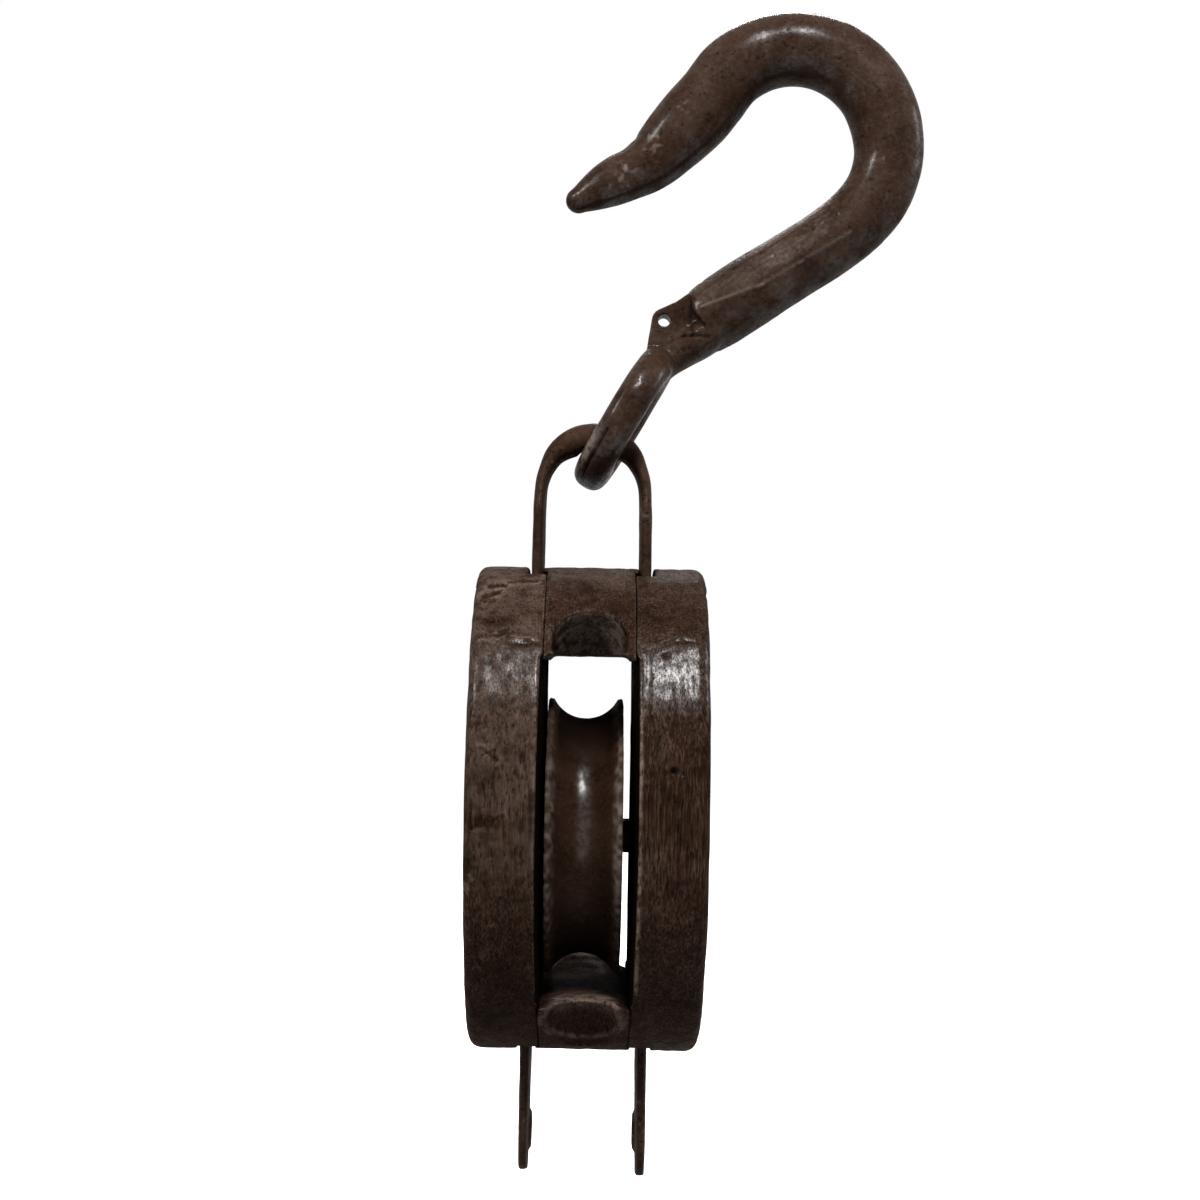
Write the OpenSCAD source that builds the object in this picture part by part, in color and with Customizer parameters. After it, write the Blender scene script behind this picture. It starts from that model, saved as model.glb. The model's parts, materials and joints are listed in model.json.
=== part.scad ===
// Internally strapped wooden rope block with one sheave, a loose forged hook and a becket.
// Millimetres. The sheave's pin lies along X, the block's front faces -Y, and +Z is up.
// The origin is the hook's seat: the point inside the bowl from which the whole block hangs.

/* [Shell] */
// Height of the oval wooden shell
shell_h = 152.4; // [146:0.5:156]
// Depth of the shell from front to back
shell_d = 117.6; // [112:0.5:124]
// Thickness of each cheek
cheek_t = 22; // [20:0.1:24]
// Width of the gap between the cheeks, which the two spacer blocks fill
swallow_w = 27.2; // [27:0.1:28]
// How far the swallow's sides are eased away at the block's front and back
swallow_ease = 1.2; // [0.4:0.1:2]
// Rounding of each cheek's outer edge
edge_round = 3.4; // [1.5:0.1:5]
// Height of the crown block on the middle line
crown_h = 28.1; // [25:0.1:29]
// Height of the tail block on the middle line
tail_h = 20.7; // [17:0.1:21]
// Radius of the scooped rope leads in the two spacer blocks
lead_r = 13.3; // [12:0.1:13.4]

/* [Sheave] */
// Outside diameter of the sheave
sheave_d = 87; // [80:0.5:88]
// Width of the sheave
sheave_w = 23.4; // [22:0.1:23.6]
// Depth of the rope groove
groove_depth = 6.4; // [5:0.1:8]
// How far the sheave's middle lies below the shell's middle
sheave_drop = 8.8; // [8.5:0.1:10]
// Side shift of the sheave on its pin, within its float between the cheeks
sheave_shift = -1; // [-1:0.1:1]
// Outside diameter of the bush in the sheave's hub
bush_d = 18; // [15:0.5:22]
// Diameter of the sheave's pin
pin_d = 10.8; // [8:0.1:12]

/* [Strap] */
// Thickness of the strap's flat legs at the shell's top
leg_t = 3.9; // [3.4:0.1:4.4]
// Thickness at the ends of the ears, which the legs are drawn down to
ear_t = 3.1; // [2.8:0.1:3.2]
// Width of the strap's flat legs
leg_w = 24; // [20:0.5:24.5]
// Outer radius of the loop's arch
loop_r = 17.5; // [17.3:0.1:18]
// Thickness of the round-forged bar at the loop's crown
crown_bar = 10; // [8.5:0.1:10.5]
// How far the link's middle lies above the shell's middle
link_rise = 107.4; // [104:0.2:112]
// How far each leg's middle line lies from the block's middle at the shell's top
leg_top_x = 17; // [16.9:0.1:17.4]
// The same at the shell's bottom, where the legs stand a little wider
leg_low_x = 18.2; // [17.6:0.1:18.4]
// How far the becket holes' axis lies below the shell
becket_drop = 26.6; // [24:0.2:30]
// Diameter of the becket holes
becket_d = 9.5; // [8:0.1:11]

/* [Hook] */
// Lean of the hook's load line from upright, as it rests in the picture
hook_lean = 30.5; // [20:0.5:40]
// Radius of the bowl's middle line
bowl_r = 30; // [29:0.1:31]
// Thickness of the bar round the bowl
bowl_bar = 22.6; // [21:0.1:24]
// Distance from the link's middle to the bowl's middle
bowl_rise = 122.1; // [121:0.1:123]
// Thickness of the hook's eye, measured across its opening's plane
eye_bar = 11; // [10.4:0.1:11.4]
// Width of the eye's bar in the plane of its opening
eye_band = 12.2; // [11:0.1:12.4]
// Inside width of the eye
eye_w = 23; // [22.6:0.1:28]
// Length of the straight stretch in each side of the eye
eye_straight = 3; // [2:0.5:4]
// Thickness of the lug that once held the latch
lug_t = 9; // [7:0.5:12]
// Diameter of the latch pin's hole through the lug
lug_hole_d = 4; // [3:0.1:5]

/* [Fasteners] */
// Diameter of the four through rivets
rivet_d = 5; // [4:0.1:5.5]
// Diameter of the rivet heads and roves
rove_d = 11; // [9:0.1:12]
// Thickness of the plates over the pin's ends
plate_t = 2.2; // [1.5:0.1:2.5]

/* [Hidden] */
$fn = 96;

// Colours
dark_wood = [0.24, 0.18, 0.14];
dark_iron = [0.21, 0.17, 0.14];
worn_iron = [0.30, 0.25, 0.21];
old_bronze = [0.36, 0.28, 0.19];

// How far a cut runs out past the surface that it opens
over = 1;

// Shell
half_h = shell_h / 2;
half_d = shell_d / 2;
cheek_in = swallow_w / 2;
cheek_out = cheek_in + cheek_t;
inner_arris = 0.5;
outline_steps = 90;
crown_low = half_h - crown_h;
tail_top = -half_h + tail_h;
swallow_corner = 1.8;
swallow_lip = 0.3;
ease_start = 16;
lead_l = 80;
// Each lead's valley starts this far in from the front at its upper end, and leans by this angle
crown_lead_y = 35.5;
crown_lead_z = 61.5;
crown_lead_lean = 44;
tail_lead_y = 31.3;
// The back of the tail block is scooped less, so that its top keeps its full depth there
tail_back_lead_y = 38.5;
tail_lead_lean = 37;

// Sheave
sheave_r = sheave_d / 2;
pin_r = pin_d / 2;
running_gap = 0.08;
// Room left round every pin, nail and rivet that doesn't turn
seat_gap = 0.02;
strap_hole_gap = 0.1;
bush_r = bush_d / 2;
bush_proud = 0.6;
lip_w = 1.5;
hub_wall = 5;
rim_wall = 5.5;
web_t = 11;
web_draft = 1.5;
groove_half = sheave_w / 2 - lip_w;
groove_r = (groove_half * groove_half + groove_depth * groove_depth) / (2 * groove_depth);
hub_r = bush_r + hub_wall;
rim_in = sheave_r - groove_depth - rim_wall;
pin_bevel = 0.8;

// Strap, measured from the link's middle
arch_z = -2.55;
shell_top_z = half_h - link_rise;
shell_low_z = -half_h - link_rise;
becket_z = shell_low_z - becket_drop;
leg_low_t = leg_t - 0.2;
ear_r = leg_w / 2;
left_ear_z = becket_z - ear_r - 0.6;
right_ear_z = becket_z - ear_r - 2;
collar_r = 6.2;
collar_proud = 0.7;
slot_gap = 0.7;
slot_end_gap = 3.6;
wear_gap = 0.3;
eye_corner = 4.2;
leg_corner = 0.8;
strap_span = 2 * (leg_low_x + leg_t);

// Hook, measured from the link's middle with the load line upright
seat_rise = bowl_rise + bowl_r - bowl_bar / 2;
eye_r = (eye_w + eye_band) / 2;
eye_top = 2 * eye_r + eye_straight;
lug_hole = [-5.5, 51.8];
lug_r = 3.9;
// Where the shank steps down to the lug, and the tilt of that shoulder
shoulder_at = [0.2, 59.3];
shoulder_tilt = 51.6;
// How far the eye bar's rounded corners reach from its middle line
eye_reach = norm([eye_bar / 2 - eye_corner, eye_band / 2 - eye_corner]) + eye_corner;
shoulder_cut = 40;

// Fasteners
head_t = 1.5;
clench_t = 0.3;
clench_r = rivet_d / 2 + 1.2;
crown_rivet = [20, 62.5];
tail_rivet = [17, -63.5];
plate_half = [13, 24];
nail_z = 17.5;
nail_r = 1.4;
nail_l = 14;
nail_point = 3;
nail_head_r = 3.2;
nail_head_t = 1.3;

// Moves what is drawn round the link's middle, and round the shell's middle, to its place
module from_link() {
    translate([-seat_rise * sin(hook_lean), 0, -seat_rise * cos(hook_lean)]) children();
}

module from_shell() {
    from_link() translate([0, 0, -link_rise]) children();
}

// Turns a shape drawn with its axis along Z so that the axis lies along X
module along_x() {
    rotate([90, 0, 90]) children();
}

// The shell's side outline, an oval, smaller by inset all round. The first number is the depth
// and the second the height
function shell_oval(inset = 0) = [for (i = [0 : outline_steps - 1]) let (a = 360 * i / outline_steps)
    [(half_d - inset) * cos(a), (half_h - inset) * sin(a)]];

// A closed skin through rings of points, each ring turning left about the way they follow
module loft(rings) {
    n = len(rings);
    m = len(rings[0]);
    sides = [for (i = [0 : n - 2]) for (j = [0 : m - 1]) let (k = (j + 1) % m)
        [i * m + j, (i + 1) * m + j, (i + 1) * m + k, i * m + k]];
    polyhedron([for (r = rings) for (p = r) p], concat(sides, [[for (j = [0 : m - 1]) j]],
        [[for (j = [m - 1 : -1 : 0]) (n - 1) * m + j]]), convexity = 6);
}

// A cross-section of a forged bar: a rectangle with round corners, half_t in the bend's plane
// and half_w across it, with corner as the corners' share of the smaller half size
corner_steps = 4;
function bar_section(half_t, half_w, corner) =
    let (r = min(half_t, half_w) * corner)
    [for (q = [0 : 3]) for (k = [0 : corner_steps]) let (a = 90 * q + 90 * k / corner_steps,
        sx = (q == 0 || q == 3) ? 1 : -1, sy = q < 2 ? 1 : -1)
        [sx * (half_t - r) + r * cos(a), sy * (half_w - r) + r * sin(a)]];

// Points on a smooth curve through a list of stations, with steps new points for each span
function spline(a, b, c, d, t) = 0.5 * (2 * b + (c - a) * t + (2 * a - 5 * b + 4 * c - d) * t * t
    + (3 * b - a - 3 * c + d) * t * t * t);
function smooth(list, steps) = let (last = len(list) - 1)
    [for (i = [0 : last - 1]) for (k = [0 : steps - 1])
        spline(list[max(i - 1, 0)], list[i], list[i + 1], list[min(i + 2, last)], k / steps),
        list[last]];

// A forged bar swept through stations of [x, z, half thickness, half width, corner share]
module forged_bar(stations) {
    last = len(stations) - 1;
    loft([for (i = [0 : last])
        let (s = stations[i], a = stations[max(i - 1, 0)], b = stations[min(i + 1, last)],
            way = [b[0] - a[0], b[1] - a[1]], u = way / norm(way))
        [for (p = bar_section(s[2], s[3], s[4])) [s[0] + u[1] * p[0], p[1], s[1] - u[0] * p[0]]]]);
}

// Wooden shell

// The cut for one strap leg, a little thicker than the leg and clearly longer than it is wide
module leg_slot() {
    half_slot = leg_t / 2 + slot_gap;
    rotate([90, 0, 0]) linear_extrude(leg_w + 2 * slot_end_gap, center = true) polygon([
        [cheek_in - over, half_h + over], [leg_top_x + half_slot, half_h + over],
        [leg_low_x + half_slot, -half_h - over], [cheek_in - over, -half_h - over]]);
}

// The swallow's side, eased away towards the front and the back so that the rope clears it
module side_ease() {
    eased = cheek_in + swallow_ease;
    for (side = [0, 1]) mirror([0, side, 0]) translate([0, 0, tail_top])
        linear_extrude(crown_low - tail_top)
            polygon([[cheek_in - over, ease_start], [cheek_in, ease_start], [eased, half_d],
                [eased, half_d + over], [cheek_in - over, half_d + over]]);
}

module at_rivets() {
    for (side = [-1, 1]) {
        translate([0, side * crown_rivet[0], crown_rivet[1]]) children();
        translate([0, side * tail_rivet[0], tail_rivet[1]]) children();
    }
}

// A cheek on the +X side. Its outer edge is rounded and its inner edge only eased
module cheek() {
    layers = [[0, inner_arris], [inner_arris, 0], for (a = [0 : 30 : 90])
        [cheek_t - edge_round * (1 - sin(a)), edge_round * (1 - cos(a))]];
    difference() {
        loft([for (l = layers) [for (p = shell_oval(l[1])) [cheek_in + l[0], p[0], p[1]]]]);
        leg_slot();
        side_ease();
        translate([0, 0, -sheave_drop]) along_x() cylinder(r = pin_r + seat_gap, h = cheek_out + over);
        at_rivets() along_x() {
            cylinder(d = rivet_d + 2 * seat_gap, h = cheek_out + over);
            translate([0, 0, cheek_out - head_t]) cylinder(d = rove_d + 2 * seat_gap, h = head_t + over);
        }
        for (z = [-nail_z, nail_z]) translate([cheek_out - nail_l + plate_t, 0, z - sheave_drop])
            along_x() cylinder(r = nail_r + seat_gap, h = nail_l + over);
    }
}

// A scooped rope lead: a round gouge whose valley passes through one point and leans inwards as it falls
module rope_lead(y, z, lean, back_y) {
    for (side = [0, 1]) mirror([0, side, 0])
        translate([0, side == 0 ? -y : -back_y, z]) rotate([lean, 0, 0]) translate([0, -lead_r, 0])
            cylinder(r = lead_r, h = lead_l, center = true);
}

module crown_block() {
    color(dark_wood) from_shell() difference() {
        translate([-cheek_in, 0, 0]) along_x() linear_extrude(swallow_w) intersection() {
            polygon(shell_oval());
            translate([-half_d, crown_low - swallow_corner]) square([shell_d, crown_h + 2 * swallow_corner]);
        }
        // The swallow's top: flat, with round corners where it meets the cheeks
        rotate([90, 0, 0]) linear_extrude(shell_d + 2 * over, center = true) union() {
            half_arch = cheek_in - swallow_lip;
            translate([-half_arch, crown_low - 2 * swallow_corner])
                square([2 * half_arch, swallow_corner]);
            translate([-half_arch + swallow_corner, crown_low - 2 * swallow_corner])
                square([2 * (half_arch - swallow_corner), 2 * swallow_corner]);
            for (x = [-1, 1]) translate([x * (half_arch - swallow_corner), crown_low - swallow_corner])
                circle(swallow_corner);
        }
        rope_lead(crown_lead_y, crown_lead_z, crown_lead_lean, crown_lead_y);
        at_rivets() along_x() cylinder(d = rivet_d + 2 * seat_gap, h = swallow_w + 2 * over, center = true);
    }
}

module tail_block() {
    color(dark_wood) from_shell() difference() {
        translate([-cheek_in, 0, 0]) along_x() linear_extrude(swallow_w) intersection() {
            polygon(shell_oval());
            translate([-half_d, -half_h]) square([shell_d, tail_h]);
        }
        rope_lead(tail_lead_y, tail_top, tail_lead_lean, tail_back_lead_y);
        at_rivets() along_x() cylinder(d = rivet_d + 2 * seat_gap, h = swallow_w + 2 * over, center = true);
    }
}

module right_cheek() {
    color(dark_wood) from_shell() cheek();
}

module left_cheek() {
    color(dark_wood) from_shell() mirror([1, 0, 0]) cheek();
}

// Strap

// Half of the loop, from its crown down: angle from the crown, half thickness in the arch's plane, half
// width across it, corner share
loop_forging = [[0, crown_bar / 2, 5.2, 0.92], [20, crown_bar / 2 - 0.2, 5.2, 0.92], [40, 4.25, 5.3, 0.92],
    [60, 3.3, 5.9, 0.9], [79, 2.5, 6.9, 0.85]];
// Below the arch: height, half thickness, half width, and how far the middle line still lies inside the leg's
leg_forging = [[-3.4, 2.05, 8, 0.75], [-7, leg_t / 2, 9.8, 0.25], [-13, leg_t / 2, leg_w / 2, 0]];
flat_corner = leg_corner / (leg_t / 2);
leg_lean = (leg_low_x - leg_top_x) / shell_h;
function leg_x(z) = leg_top_x + (shell_top_z - z) * leg_lean;

function loop_half() = [for (s = loop_forging) let (r = loop_r - s[1])
    [r * sin(s[0]), arch_z + r * cos(s[0]), s[1], s[2], s[3]]];
function leg_half() = [for (s = leg_forging) [leg_x(s[0]) - s[3], s[0], s[1], s[2], flat_corner]];
function leg_station(z, t) = [leg_x(z), z, t / 2, leg_w / 2, flat_corner];
function half_strap(end_z) = concat(smooth(concat(loop_half(), leg_half()), 4),
    [leg_station(shell_low_z, leg_low_t), leg_station(end_z, ear_t)]);
function mirrored(list) = [for (i = [len(list) - 1 : -1 : 1]) let (s = list[i])
    [-s[0], s[1], s[2], s[3], s[4]]];

// Trims an ear's end to a half round
module ear_end(end_z, side) {
    translate([side * leg_x(becket_z), 0, end_z + ear_r]) along_x() difference() {
        translate([-ear_r - over, -ear_r - over]) linear_extrude(4 * leg_t, center = true)
            square([2 * (ear_r + over), ear_r + over]);
        cylinder(r = ear_r, h = 4 * leg_t + over, center = true);
    }
}

// Hollow worn under the loop's crown by the hook's eye, which bends away from it towards both sides
function worn_r(y) = eye_reach + wear_gap + eye_w / 2 - sqrt(pow(eye_w / 2, 2) - y * y);
module worn_hollow() {
    reach = 8;
    rotate([90, 0, 0]) rotate_extrude()
        polygon(concat([[0, reach], [0, -reach]], [for (y = [-reach : reach]) [worn_r(y), y]]));
}

module strap() {
    color(dark_iron) from_link() difference() {
        union() {
            forged_bar(concat(mirrored(half_strap(left_ear_z)), half_strap(right_ear_z)));
            // Burr that the punch raised round each becket hole, on the inner side
            for (side = [0, 1]) mirror([side, 0, 0])
                translate([leg_x(becket_z) - leg_low_t / 2 - collar_proud, 0, becket_z])
                    along_x() cylinder(r = collar_r, h = leg_low_t / 2 + collar_proud);
        }
        ear_end(left_ear_z, -1);
        ear_end(right_ear_z, 1);
        translate([0, 0, becket_z]) along_x() cylinder(d = becket_d, h = strap_span, center = true);
        translate([0, 0, -link_rise - sheave_drop]) along_x()
            cylinder(r = pin_r + strap_hole_gap, h = strap_span, center = true);
        worn_hollow();
    }
}

// Hook

// The bill from its point up to the bowl: [x, z, half thickness], on the hook's own load line
bill = [[-44.5, 78.5, 6.7], [-39.7, 86.3, 8.1], [-35.6, 93.6, 9.1], [-33, 104.6, 10.7], [-31.2, 113, 11.5]];
point_at = [-49, 70.8, 4];
// The shank from the bowl down to its shoulder above the lug
shank = [[26.9, 136.4, 11], [30, 129, 10.8], [31.1, 120.5, 10.7], [29.4, 110.2, 10.8],
    [25, 99, 10.8], [19.2, 87.5, 10.9], [12.8, 74.6, 11.1], [7.6, 63.3, 11], [5, 57, 10]];
// The bowl's part of the path, as angles round its middle
bowl_angles = [182 : -19.3 : 47];
hook_corner = 0.9;
flatness = 0.95;

module eye_section() {
    polygon(bar_section(eye_band / 2, eye_bar / 2, eye_corner / (eye_bar / 2)));
}

module eye_ring() {
    $fn = 48;
    for (end = [0, 1]) translate([0, 0, eye_r + end * eye_straight]) rotate([0, 90, 0])
        rotate([0, 0, end * 180]) rotate_extrude(angle = 180, start = -90)
            translate([eye_r, 0]) eye_section();
    for (side = [-1, 1]) translate([0, side * eye_r, eye_r]) rotate([0, 0, 90])
        linear_extrude(eye_straight) eye_section();
}

module hook_body() {
    tip_way = [bill[0][0] - point_at[0], bill[0][1] - point_at[1]];
    tip_u = tip_way / norm(tip_way);
    tip = [for (a = [80, 55, 30]) [point_at[0] - tip_u[0] * point_at[2] * sin(a),
        point_at[1] - tip_u[1] * point_at[2] * sin(a), point_at[2] * cos(a)], point_at];
    bowl = [for (a = bowl_angles) [bowl_r * cos(a), bowl_rise + bowl_r * sin(a), bowl_bar / 2]];
    path = concat(tip, smooth(concat([point_at], bill, bowl, shank), 3));
    // The station just after the point lies too close to it to be of use
    forged_bar([for (i = [0 : len(path) - 1]) if (i != len(tip))
        [path[i][0], path[i][1], path[i][2], path[i][2] * flatness, hook_corner]]);
}

module hook() {
    color(dark_iron) from_link() rotate([0, hook_lean, 0]) difference() {
        union() {
            difference() {
                hook_body();
                // Shoulder where the shank steps down to the lug
                translate([shoulder_at[0], 0, shoulder_at[1]]) rotate([0, shoulder_tilt, 0])
                    translate([-shoulder_cut / 2, -shoulder_cut / 2, -shoulder_cut]) cube(shoulder_cut);
            }
            eye_ring();
            neck();
            lug();
        }
        translate([lug_hole[0], 0, lug_hole[1]]) rotate([90, 0, 0])
            cylinder(d = lug_hole_d, h = lug_t + 2 * over, center = true);
    }
}

// The neck bends from the eye's top into the shank's underside: [x, z, half thickness, half width, corner]
neck_path = [[0, eye_top - 3, 5.5, 5.8, 0.8], [0.2, 38.5, 5.6, 6, 0.9], [1.1, 42, 5.8, 6.4, 0.9],
    [3.8, 46.9, 5.7, 7.2, 0.9], [7.4, 53.3, 5.9, 8.4, 0.9], [10.4, 60, 6, 9, 0.9]];
module neck() {
    forged_bar(smooth(neck_path, 3));
}

// The flat lug beside the neck, with one corner rounded round the latch pin's hole
module lug() {
    corner = [for (a = [195 : -15 : 150]) lug_hole + lug_r * [cos(a), sin(a)]];
    rotate([90, 0, 0]) linear_extrude(lug_t, center = true)
        polygon(concat([[-5, 40.5]], corner, [[-5.4, 58.8], [-3, 64.2], [8, 60], [6, 47], [0, 40.5]]));
}

// Sheave, bush and pin

module sheave_profile() {
    half = sheave_w / 2;
    difference() {
        translate([bush_r, -half]) square([sheave_r - bush_r, sheave_w]);
        translate([sheave_r - groove_depth + groove_r, 0]) circle(groove_r);
        // Recess between hub and rim on both faces, with sloping walls
        for (side = [-1, 1]) polygon([[hub_r, side * (half + over)], [hub_r + web_draft, side * web_t / 2],
            [rim_in - web_draft, side * web_t / 2], [rim_in, side * (half + over)]]);
    }
}

module at_pin() {
    from_shell() translate([0, 0, -sheave_drop]) children();
}

module sheave() {
    color(worn_iron) at_pin() translate([sheave_shift, 0, 0]) along_x() rotate_extrude() sheave_profile();
}

module sheave_bush() {
    color(old_bronze) at_pin() translate([sheave_shift, 0, 0]) along_x() difference() {
        cylinder(r = bush_r, h = sheave_w + 2 * bush_proud, center = true);
        cylinder(r = pin_r + running_gap, h = sheave_w + 2 * (bush_proud + over), center = true);
    }
}

module sheave_pin() {
    color(worn_iron) at_pin() along_x() {
        cylinder(r = pin_r, h = 2 * (cheek_out - pin_bevel), center = true);
        for (end = [0, 1]) mirror([0, 0, end]) translate([0, 0, cheek_out - pin_bevel])
            cylinder(r1 = pin_r, r2 = pin_r - pin_bevel, h = pin_bevel);
    }
}

// Plates over the pin's ends, and their nails

module pin_plate() {
    difference() {
        translate([cheek_out, 0, 0]) along_x() linear_extrude(plate_t) union() {
            square([2 * plate_half[0], 2 * (plate_half[1] - plate_half[0])], center = true);
            for (z = [-1, 1]) translate([0, z * (plate_half[1] - plate_half[0])]) circle(plate_half[0]);
        }
        for (z = [-nail_z, nail_z]) translate([cheek_out - over, 0, z]) along_x()
            cylinder(r = nail_r + seat_gap, h = plate_t + 2 * over);
    }
}

module plate_nails() {
    for (z = [-nail_z, nail_z]) translate([cheek_out + plate_t - nail_l, 0, z]) along_x() rotate_extrude()
        polygon([[0, 0], [nail_r * 0.5, 0], [nail_r, nail_point], [nail_r, nail_l], [nail_head_r, nail_l],
            [nail_head_r * 0.9, nail_l + nail_head_t * 0.6], [nail_head_r * 0.5, nail_l + nail_head_t],
            [0, nail_l + nail_head_t]]);
}

module right_pin_plate() {
    color(dark_iron) at_pin() pin_plate();
}

module left_pin_plate() {
    color(dark_iron) at_pin() mirror([1, 0, 0]) pin_plate();
}

module right_plate_nails() {
    color(dark_iron) at_pin() plate_nails();
}

module left_plate_nails() {
    color(dark_iron) at_pin() mirror([1, 0, 0]) plate_nails();
}

// Through rivets: the head is let into the left cheek, and the tail is clenched over a rove in the right

module rivet(at, side) {
    color(dark_iron) from_shell() translate([0, side * at[0], at[1]]) along_x() {
        translate([0, 0, -cheek_out + head_t]) cylinder(d = rivet_d, h = 2 * cheek_out - head_t);
        translate([0, 0, -cheek_out]) cylinder(d = rove_d, h = head_t);
        translate([0, 0, cheek_out - clench_t]) cylinder(r = clench_r, h = 2 * clench_t);
    }
}

module rove(at, side) {
    color(dark_iron) from_shell() translate([0, side * at[0], at[1]]) along_x()
        translate([0, 0, cheek_out - head_t]) difference() {
            cylinder(d = rove_d, h = head_t - clench_t);
            translate([0, 0, -over]) cylinder(d = rivet_d + 2 * seat_gap, h = head_t + 2 * over);
        }
}

module crown_front_rivet() { rivet(crown_rivet, -1); }
module crown_back_rivet() { rivet(crown_rivet, 1); }
module tail_front_rivet() { rivet(tail_rivet, -1); }
module tail_back_rivet() { rivet(tail_rivet, 1); }
module crown_front_rove() { rove(crown_rivet, -1); }
module crown_back_rove() { rove(crown_rivet, 1); }
module tail_front_rove() { rove(tail_rivet, -1); }
module tail_back_rove() { rove(tail_rivet, 1); }

left_cheek();
right_cheek();
crown_block();
tail_block();
strap();
hook();
sheave();
sheave_bush();
sheave_pin();
left_pin_plate();
right_pin_plate();
left_plate_nails();
right_plate_nails();
crown_front_rivet();
crown_back_rivet();
tail_front_rivet();
tail_back_rivet();
crown_front_rove();
crown_back_rove();
tail_front_rove();
tail_back_rove();
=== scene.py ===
# %% [markdown]
# # An old rope block with a loose hook
# The block hangs from its hook: a forged iron hook, an iron strap linked through the hook's eye, an oval
# shell of dark wood and a grooved iron sheave on a pin. Every piece below takes its place and its size
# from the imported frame, so nothing is fitted by eye. Sizes inside the script are millimetres, and one
# value turns them into Blender's metres.

# %% Load the frame
import json
import math

import bmesh
import bpy
import numpy as np
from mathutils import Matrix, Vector


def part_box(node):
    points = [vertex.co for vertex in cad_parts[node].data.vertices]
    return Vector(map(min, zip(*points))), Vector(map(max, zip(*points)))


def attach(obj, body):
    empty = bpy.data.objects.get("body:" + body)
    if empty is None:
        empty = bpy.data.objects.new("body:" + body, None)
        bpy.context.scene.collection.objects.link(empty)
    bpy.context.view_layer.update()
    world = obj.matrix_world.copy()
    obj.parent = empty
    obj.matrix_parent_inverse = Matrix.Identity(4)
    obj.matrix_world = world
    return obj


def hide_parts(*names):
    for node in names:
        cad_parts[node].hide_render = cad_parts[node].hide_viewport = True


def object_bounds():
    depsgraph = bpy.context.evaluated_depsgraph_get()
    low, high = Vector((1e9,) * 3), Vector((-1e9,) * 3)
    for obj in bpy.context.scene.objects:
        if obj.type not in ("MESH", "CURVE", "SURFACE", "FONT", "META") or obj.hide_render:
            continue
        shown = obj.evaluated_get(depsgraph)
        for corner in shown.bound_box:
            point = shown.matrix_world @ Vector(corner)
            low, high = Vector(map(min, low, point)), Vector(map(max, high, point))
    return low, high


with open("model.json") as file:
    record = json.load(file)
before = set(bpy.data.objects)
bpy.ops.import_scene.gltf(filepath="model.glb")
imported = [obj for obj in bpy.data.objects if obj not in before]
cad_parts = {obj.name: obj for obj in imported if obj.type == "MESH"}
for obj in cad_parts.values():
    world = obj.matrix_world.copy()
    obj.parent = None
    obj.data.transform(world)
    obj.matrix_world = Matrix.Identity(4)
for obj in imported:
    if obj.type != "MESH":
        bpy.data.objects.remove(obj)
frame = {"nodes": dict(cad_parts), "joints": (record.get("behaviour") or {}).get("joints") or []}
cad_low, cad_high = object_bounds()
MM = 0.001
joints = {j["name"]: np.array(j["pos_m"]) / MM for j in frame["joints"]}
link = joints["link_swing"]
pin = joints["sheave_spin"]
print("nodes:", len(frame["nodes"]), "link at", link.round(1), "pin at", pin.round(1))

# %% [markdown]
# ## The camera
# The picture is taken from the front with the camera level. Its vanishing point lies a little below
# the middle, so the lens is shifted and not tilted: that keeps the block's sides parallel. The whole
# picture is also turned by one degree, because the block hangs that much out of upright.

# %% Camera
PICTURE = 1200
focal_px = 1800
vanish_right, vanish_down = -6.74, 67.9
camera_at = (-70.4, -573.8, -184.3)
picture_turn = -1.02


def add_object(name, data):
    """A new object in the scene, for a mesh, a lamp or the camera."""
    made = bpy.data.objects.new(name, data)
    bpy.context.scene.collection.objects.link(made)
    return made


camera_data = bpy.data.cameras.new("camera")
camera_data.lens = camera_data.sensor_width * focal_px / PICTURE
camera_data.shift_x = -vanish_right / PICTURE
camera_data.shift_y = vanish_down / PICTURE
camera = add_object("camera", camera_data)
camera.location = Vector(camera_at) * MM
camera.rotation_euler = (math.radians(90), math.radians(picture_turn), 0)
bpy.context.scene.camera = camera
print("lens", round(camera_data.lens, 1), "mm")

# %% [markdown]
# ## Helpers for meshes
# Most pieces start as rings of points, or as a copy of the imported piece. Rings that follow each other
# make a skin, and a skin needs only its ring points and a rule for its faces.

# %% Pieces from rings
def make_piece(name, points, faces):
    """A new object from points in millimetres, with its faces turned outwards."""
    mesh = bpy.data.meshes.new(name)
    mesh.from_pydata((np.asarray(points, float) * MM).tolist(), [], faces)
    face_outwards(mesh)
    return add_object(name, mesh)


def face_outwards(mesh, weld=0.0):
    """Turns a closed mesh's faces outwards, after points closer than weld are merged."""
    work = bmesh.new()
    work.from_mesh(mesh)
    if weld:
        bmesh.ops.remove_doubles(work, verts=work.verts, dist=weld * MM)
    bmesh.ops.recalc_face_normals(work, faces=work.faces)
    work.to_mesh(mesh)
    work.free()


def loft(rings):
    """Points and faces of a closed skin through rings of points, with flat ends."""
    rings = np.asarray(rings, float)
    count, around = rings.shape[:2]
    start = list(range(around))[::-1]
    end = [(count - 1) * around + a for a in range(around)]
    return rings.reshape(-1, 3), ring_faces(count - 1, count, around) + [start, end]


def ring_faces(spans, count, around):
    """Four-sided faces between each ring and the next."""
    i, j = np.meshgrid(np.arange(spans), np.arange(around), indexing="ij")
    n, k = (i + 1) % count, (j + 1) % around
    sides = np.stack([i * around + j, i * around + k, n * around + k, n * around + j], -1)
    return sides.reshape(-1, 4).tolist()


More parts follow.
